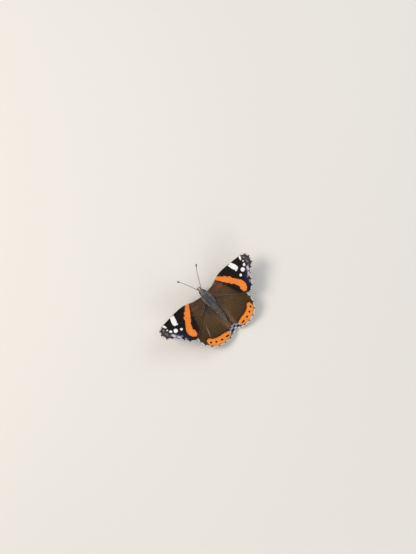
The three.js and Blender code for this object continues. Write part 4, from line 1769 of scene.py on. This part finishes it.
@dataclass
class Feelers:
    """The antennae: ringed rods, pale below, that end in a flattened club with a cream tip."""

    stance: Stance
    root: tuple[float, float, float] = (0.5, 5.5, 0.7)
    length: float = 14.75
    spread: dict[Side, float] = field(default_factory=lambda: {Side.LEFT: 24.0, Side.RIGHT: 30.5})
    lift: dict[Side, float] = field(default_factory=lambda: {Side.LEFT: 29.0, Side.RIGHT: 16.0})
    shaft: float = 0.15
    club: float = 0.42
    club_share: float = 0.17
    club_end: float = 0.024  # the share of the length over which the tip rounds off
    flatness: float = 0.85
    joints: int = 42
    rings_per_joint: int = 7
    sides: int = 20

    def build(self, side: Side, finish: Material) -> Piece:
        """Make one antenna.

        Args:
            side: Which one.
            finish: Its material.

        Returns:
            The antenna.
        """
        sign = side.value
        spread, lift = math.radians(self.spread[side]), math.radians(self.lift[side])
        along = unit(np.array([sign * math.sin(spread), math.cos(spread), math.sin(lift)]))
        start = np.array(self.root) * [sign, 1, 1]
        sway = np.array([-sign, 1.0, 1.0])
        knots = [
            start + along * self.length * share + sway * bow
            for share, bow in ((-0.03, 0), (0.35, 0.25), (0.7, 0.3), (1, 0))
        ]
        places = np.linspace(0, 1, self.joints * self.rings_per_joint)
        path = curve_through(np.array(knots), places)
        in_club = np.clip((places - (1 - self.club_share)) / self.club_share, 0, 1)
        swell = np.sin(math.pi * in_club**1.5) ** 0.75
        end = np.sqrt(1 - (1 - np.clip((1 - places) / self.club_end, 0.02, 1)) ** 2)
        beat = places * self.joints
        ring = 1 - 0.14 * np.exp(-(((beat - np.round(beat)) / 0.16) ** 2))
        foot = 1 + 0.9 * np.exp(-((places / 0.025) ** 2))
        radius = (self.shaft * foot + (self.club - self.shaft) * swell) * ring * end
        points, faces = tube(path, radius, self.sides, self.flatness)
        below = smooth(-np.sin(2 * math.pi * (np.arange(self.sides) + 0.5) / self.sides), 0.1, 0.8)
        bands = np.where((beat - np.floor(beat)) < 0.4, 1.0, 0.15)
        shaft_pale = 0.06 + 0.75 * bands[:, None] * (0.3 + 0.7 * below)
        shaft_pale *= 1 - smooth(places, 0.82, 0.9)[:, None]
        pale = np.maximum(shaft_pale, 0.95 * smooth(places, 0.955, 0.975)[:, None]).ravel()
        name = f"antenna_{side.word}"
        piece = add_piece(name + "_rod", self.stance.place(points), faces, finish, {"paleness": pale})
        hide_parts(name)
        return piece


@dataclass
class Tongue:
    """The proboscis, coiled like a watch spring under the head."""

    stance: Stance
    ahead: float = 5.05
    up: float = -2.75
    outer: float = 1.0
    inner: float = 0.3
    turns: float = 1.6
    radius: float = 0.17
    width: float = 1.2  # across the coil, as a share of its height
    steps: int = 120
    sides: int = 12

    def build(self, finish: Material) -> Piece:
        """Make the coil, with its outer end up in the head.

        Args:
            finish: Its material.

        Returns:
            The proboscis.
        """
        share = np.linspace(0, 1, self.steps)
        angle = math.pi * (0.42 - 2 * self.turns * share)
        reach = self.outer + (self.inner - self.outer) * share
        coil = np.column_stack([reach * 0, reach * np.cos(angle), reach * np.sin(angle)])
        stem = [[0, 0.2, self.outer + 0.75], [0, 0.4, 1.3]]
        path = np.vstack([stem, coil]) + [0, self.ahead, self.up]
        places = np.linspace(0, 1, len(path))
        radius = self.radius * (1 - 0.35 * places) * (1 + 0.05 * np.sin(places * 260))
        points, faces = tube(path, radius * self.width, self.sides, 1 / self.width, first=0.0)
        pale = {"paleness": np.full(len(points), 0.35)}
        piece = add_piece("proboscis_coil", self.stance.place(points), faces, finish, pale)
        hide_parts("proboscis")
        return piece


@dataclass(frozen=True)
class LegRun:
    """A leg's joints, each out from the middle, ahead of the thorax's middle and up from the floor.

    For each stretch of the leg it has a count of hairs and the lengths of the shortest and the longest.
    """

    name: str
    hip: tuple[float, float, float]
    knee: tuple[float, float, float]
    ankle: tuple[float, float, float] | None
    toe: tuple[float, float, float]
    hairs: tuple[tuple[int, float, float], ...] = ((420, 0.3, 0.55), (260, 0.25, 0.45), (150, 0.14, 0.26))


LEG_RUNS = (
    LegRun("mid", (0.9, 0.5, 4.0), (4.6, 2.0, 4.9), (7.0, 2.6, 0.3), (10.6, 3.9, 0.2)),
    LegRun("hind", (0.9, -1.9, 4.0), (4.2, -4.7, 4.3), (6.2, -7.8, 0.3), (8.6, -11.0, 0.2)),
    LegRun(
        "fore", (0.9, 2.2, 4.2), (1.75, 3.2, 2.6), None, (1.25, 5.3, 3.05), ((320, 0.3, 0.5), (620, 0.5, 0.8))
    ),
)


@dataclass
class Legs:
    """The legs: thigh, shin, and a foot of five rings with its claws, with hairs and spines all round."""

    stance: Stance
    thigh: float = 0.34
    shin: float = 0.22
    foot: float = 0.17
    foot_bounds: tuple[float, ...] = (0.0, 0.38, 0.57, 0.71, 0.83, 0.96)  # where its rings start and end
    floor_gap: float = 0.005
    hair_gap: float = 0.02
    steps: int = 26
    sides: int = 16

    def rod(
        self, start: Array, end: Array, radius: float, swell: float, taper: float
    ) -> tuple[Array, Array, Array]:
        """Make one stretch of a leg.

        Args:
            start: Where it starts.
            end: Where it ends.
            radius: Its radius.
            swell: How much thicker it is a third of the way along.
            taper: How much of its radius is left at its end.

        Returns:
            Its corners, its triangles and the share of the way along of each corner.
        """
        places = (1 - np.cos(np.linspace(0, math.pi, self.steps))) / 2
        path = start + (end - start) * places[:, None]
        cap = np.sqrt(np.clip(1 - (2 * np.abs(places - 0.5)) ** 14, 0.01, 1))
        girth = radius * (1 + swell * np.sin(math.pi * places**0.7)) * (1 - (1 - taper) * places) * cap
        points, faces = tube(path, girth, self.sides)
        return points, faces, np.repeat(places, self.sides)

    def build(self, run: LegRun, side: Side, finish: Material) -> Piece:
        """Make one leg from the body to its claws.

        Args:
            run: The leg's joints.
            side: Which side it is on.
            finish: The leg's material.

        Returns:
            The leg.
        """
        sign = np.array([side.value, 1, 1])
        hip, knee, toe = (np.array(point) * sign for point in (run.hip, run.knee, run.toe))
        nodes = [f"{run.name}_femur_{side.word}", f"{run.name}_tibia_{side.word}"]
        stretches = [(hip, knee, self.thigh, 0.15, 0.7)]
        if run.ankle is None:
            stretches.append((knee, toe, self.shin, 0.25, 0.6))
        else:
            ankle = np.array(run.ankle) * sign
            stretches.append((knee, ankle, self.shin, 0.05, 0.85))
            heel = np.array([ankle[0], ankle[1], toe[2]])
            nodes.append(f"{run.name}_tarsus_{side.word}")
            stretches += self.foot_stretches(heel, toe)
        parts = []
        pale = []
        for number, (start, end, radius, swell, taper) in enumerate(stretches):
            points, faces, share = self.rod(start, end, radius, swell, taper)
            points[:, 2] = np.maximum(points[:, 2], self.floor_gap)
            parts.append((points, faces))
            base = 0.15 if number == 0 else 0.55
            pale.append(base + 0.25 * smooth(share, 0.8, 1.0))
        points, faces = join(parts)
        name = f"leg_{run.name}_{side.word}"
        fields = {"paleness": np.concatenate(pale)}
        piece = add_piece(name, self.stance.ground(points), faces, finish, fields)
        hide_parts(*nodes)
        return piece

    def foot_stretches(self, heel: Array, toe: Array) -> list[tuple[Array, Array, float, float, float]]:
        """List the stretches of a foot.

        Args:
            heel: Where it starts.
            toe: Where it ends.

        Returns:
            Its rings and its two claws, each with its start, end, radius, swell and taper.
        """
        foot = toe - heel
        spots = heel + foot * np.array(self.foot_bounds)[:, None]
        rings = [
            (start - foot * (0.01 if k else 0.05), end + foot * 0.01, self.foot, 0.0, 1.12)
            for k, (start, end) in enumerate(zip(spots[:-1], spots[1:]))
        ]
        ahead = unit(foot)
        across = np.cross(ahead, [0, 0, 1.0])
        claws = [
            (spots[-1], spots[-1] + ahead * 0.45 + across * 0.2 * hand + [0, 0, -0.1], 0.07, 0.0, 0.2)
            for hand in (-1, 1)
        ]
        return rings + claws

    def build_spines(self, run: LegRun, side: Side, finish: Material, rng: Random) -> Piece:
        """Set short hairs on the thigh and spines on the shin and foot.

        Args:
            run: The leg's joints.
            side: Which side it is on.
            finish: The hair's material.
            rng: The source of their small differences.

        Returns:
            The spines.
        """
        sign = np.array([side.value, 1, 1])
        joints = [np.array(p) * sign for p in (run.hip, run.knee, run.ankle, run.toe) if p is not None]
        # each stretch has its radius, how far its hairs stand off, and how pale they are
        looks = ((self.thigh, 0.5, 0.45), (self.shin, 0.95, 0.6), (self.foot, 0.95, 0.35))
        roots, rises, lies, lengths, pales = [], [], [], [], []
        for start, end, look, (count, *sizes) in zip(joints[:-1], joints[1:], looks, run.hairs):
            radius, off, pale = look
            ahead = unit(end - start)
            side_way = unit(np.cross(ahead, [0.03, 0.02, 1.0]))
            over = np.cross(side_way, ahead)
            share = rng.uniform(0.06, 0.97, count)
            angle = rng.uniform(0, 2 * math.pi, count)
            out = side_way * np.cos(angle)[:, None] + over * np.sin(angle)[:, None]
            root = start + (end - start) * share[:, None] + out * radius * 0.85
            keep = root[:, 2] > 0.12
            kept = int(keep.sum())
            roots.append(root[keep])
            rises.append(unit(out * off + ahead)[keep])
            lies.append(np.tile(ahead, (kept, 1)))
            lengths.append(rng.uniform(*sizes, kept))
            pales.append(pale + rng.normal(0, 0.12, kept))
        root, rise, lie = (np.vstack(group) for group in (roots, rises, lies))
        length = np.concatenate(lengths)
        lie[:, 2] = np.where(root[:, 2] < 0.5, np.abs(lie[:, 2]), lie[:, 2])
        broad = np.cross(rise, [0.1, 0.2, 1.0])
        spot = np.column_stack([rng.uniform(0.02, 0.97, len(root)), np.clip(root[:, 2] / 8, 0.02, 0.97)])
        width = np.full(len(root), 0.05)
        tufts = Tufts(rings=2, flatness=0.7)
        points, faces, along, spots = tufts.grow(root, rise, lie, broad, length, width, spot)
        points[:, 2] = np.maximum(points[:, 2], self.hair_gap)
        fields = tufts.fields(along, np.concatenate(pales))
        name = f"leg_{run.name}_{side.word}_hair"
        return add_piece(name, self.stance.ground(points), faces, finish, fields, spots)


@dataclass
class Studio:
    """The pale floor, the soft lights and the camera."""

    stance: Stance
    frame_pixels: tuple[int, int] = (416, 554)
    pixel_mm: float = 0.518
    body_pixel: tuple[float, float] = (208.3, 298.8)
    heading: tuple[float, float] = (-0.6756, 0.7377)  # of the head in the picture, to the right and up
    distance: float = 420.0
    sensor: float = 24.0
    floor_size: float = 4000.0
    sky: str = "eef1f5"
    sky_strength: float = 0.5
    # name, place, size, power and colour of each
    lights: tuple[tuple[str, tuple[float, float, float], float, float, str], ...] = (
        ("key", (-260.0, 330.0, 520.0), 340.0, 2.5, "fff6ea"),
        ("fill", (480.0, 60.0, 380.0), 420.0, 0.9, "eef3ff"),
        ("back", (-80.0, -520.0, 300.0), 360.0, 0.8, "ffffff"),
    )

    def build(self) -> None:
        """Set up floor, lights, world and camera."""
        self.add_floor()
        self.add_lights()
        self.add_camera()
        LOG.info("studio: floor, %d lights and camera", len(self.lights))

    def add_floor(self) -> None:
        """Lay a wide sheet of paper under the insect."""
        half = self.floor_size / 2 * MM
        mesh = bpy.data.meshes.new("floor")
        corners = [(half * x, half * y, 0) for x, y in ((-1, -1), (1, -1), (1, 1), (-1, 1))]
        mesh.from_pydata(corners, [], [(0, 1, 2, 3)])
        mesh.materials.append(Paper().build())
        add_object("floor", mesh)

    def add_lights(self) -> None:
        """Hang the soft lights round the insect and give it a pale sky."""
        target = Vector((0, self.stance.ahead * MM, self.stance.height * MM))
        for name, place, size, power, colour in self.lights:
            light = bpy.data.lights.new(name, "AREA")
            light.shape = "DISK"
            light.size = size * MM
            light.energy = power
            light.color = linear(colour)[:3]
            lamp = add_object(name, light)
            lamp.location = Vector(place) * MM
            lamp.rotation_euler = (target - lamp.location).to_track_quat("-Z", "Y").to_euler()
        world = bpy.data.worlds.new("sky")
        world.use_nodes = True
        plug(world.node_tree.nodes["Background"], {"Color": linear(self.sky), "Strength": self.sky_strength})
        bpy.context.scene.world = world
        bpy.context.scene.view_settings.view_transform = "Standard"

    def add_camera(self) -> None:
        """Look straight down on the wings, with the body at its place and heading in the picture."""
        width, height = self.frame_pixels
        sine, cosine = math.sin(self.stance.pitch), math.cos(self.stance.pitch)
        insect_right = Vector((1, 0, 0))
        insect_ahead = Vector((0, cosine, sine))
        across, upward = self.heading
        right = insect_right * upward + insect_ahead * across
        up = insect_right * -across + insect_ahead * upward
        facing = insect_right.cross(insect_ahead)
        body = Vector((0, self.stance.ahead, self.stance.height))
        offset_right = (self.body_pixel[0] - width / 2) * self.pixel_mm
        offset_up = (height / 2 - self.body_pixel[1]) * self.pixel_mm
        place = body - right * offset_right - up * offset_up + facing * self.distance
        camera = bpy.data.cameras.new("camera")
        camera.sensor_fit = "VERTICAL"
        camera.sensor_height = self.sensor
        camera.lens = self.sensor * self.distance / (height * self.pixel_mm)
        camera.clip_start = 0.01
        view = add_object("camera", camera)
        axes = Matrix((right, up, facing)).transposed().to_4x4()
        view.matrix_world = Matrix.Translation(place * MM) @ axes
        bpy.context.scene.camera = view


@dataclass
class RedAdmiral:
    """The whole insect."""

    stance: Stance
    hind_spread: dict[Side, float] = field(default_factory=lambda: {Side.LEFT: 1.0, Side.RIGHT: 0.94})
    lap: float = 0.6  # how far the left hind wing's inner edge lies over the right one's
    left_warmth: float = 0.4  # the left fore wing's root is less reddish

    WING_SEED: ClassVar[int] = 11
    COAT_SEED: ClassVar[int] = 23
    LEG_SEED: ClassVar[int] = 31

    def build(self) -> None:
        """Build every sub-assembly in order."""
        self.build_wings()
        self.build_body()
        self.build_limbs()

    def build_wings(self) -> None:
        """Make the four wings with their fringes and hair."""
        fringe = HairFinish("wing fringe", "241d19", "a8968a", "fdfbf6", roughness=0.8, root_shade=0.95)
        hair = HairFinish("wing root hair", "32261b", "6a5540", "9c8a72").build()
        fringe_finish = fringe.build()
        for plan, finish in ((HIND_PLAN, HIND_FINISH.build()), (FORE_PLAN, FORE_FINISH.build())):
            for side in Side:
                wing = Wing(plan, side, self.stance)
                if plan.pair is Pair.HIND:
                    wing.spread = self.hind_spread[side]
                    wing.lap = self.lap if side is Side.LEFT else 0.0
                elif side is Side.LEFT:
                    wing.warmth = self.left_warmth
                rng = np.random.default_rng([self.WING_SEED, side.value + 1, len(plan.veins)])
                wing.build(finish)
                wing.build_fringe(fringe_finish, rng)
                wing.build_hair(hair, rng)

    def build_body(self) -> None:
        """Make the skin, its coat and the eyes."""
        trunk = Trunk(self.stance)
        trunk.build(Cuticle("body cuticle", dark="1c1815", pale="4a4238", roughness=0.6).build())
        # dark, middle and pale hairs
        finishes = {
            "abdomen": HairFinish("abdomen scales", "2c221a", "84715f", "e2d2b8", roughness=0.62),
            "thorax": HairFinish("thorax hair", "22262a", "858888", "ad9a80"),
            "head": HairFinish("head hair", "2a2622", "a0978a", "ebe2d2"),
            "palps": HairFinish("palp bristles", "38332d", "968c7e", "f0e9dc"),
        }
        coat = Coat(trunk, self.stance)
        for number, area in enumerate(COAT):
            rng = np.random.default_rng([self.COAT_SEED, number])
            coat.build(area, finishes[area.name].build(), rng)
        facets = EyeFacets().build()
        for side in Side:
            Eyes(self.stance).build(side, facets)

    def build_limbs(self) -> None:
        """Make the antennae, the proboscis and the legs."""
        horn = Cuticle("antenna cuticle", dark="17120f", pale="e0d3b4", roughness=0.5, depth=0.008).build()
        for side in Side:
            Feelers(self.stance).build(side, horn)
        tongue = Cuticle("proboscis cuticle", dark="2a1c12", pale="7a4f2c", roughness=0.35).build()
        Tongue(self.stance).build(tongue)
        shell = Cuticle("leg cuticle", dark="2b211a", pale="b08f68", roughness=0.5).build()
        hair = HairFinish("leg hair", "2a211b", "7d6a54", "d3c3a6").build()
        legs = Legs(self.stance)
        for number, run in enumerate(LEG_RUNS):
            for side in Side:
                legs.build(run, side, shell)
                rng = np.random.default_rng([self.LEG_SEED, number, side.value + 1])
                legs.build_spines(run, side, hair, rng)


def main() -> None:
    """Load the frame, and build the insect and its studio."""
    logging.basicConfig(level=logging.INFO, format="%(message)s")
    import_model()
    stance = Stance()
    Studio(stance).build()
    RedAdmiral(stance).build()


if __name__ == "__main__":
    main()
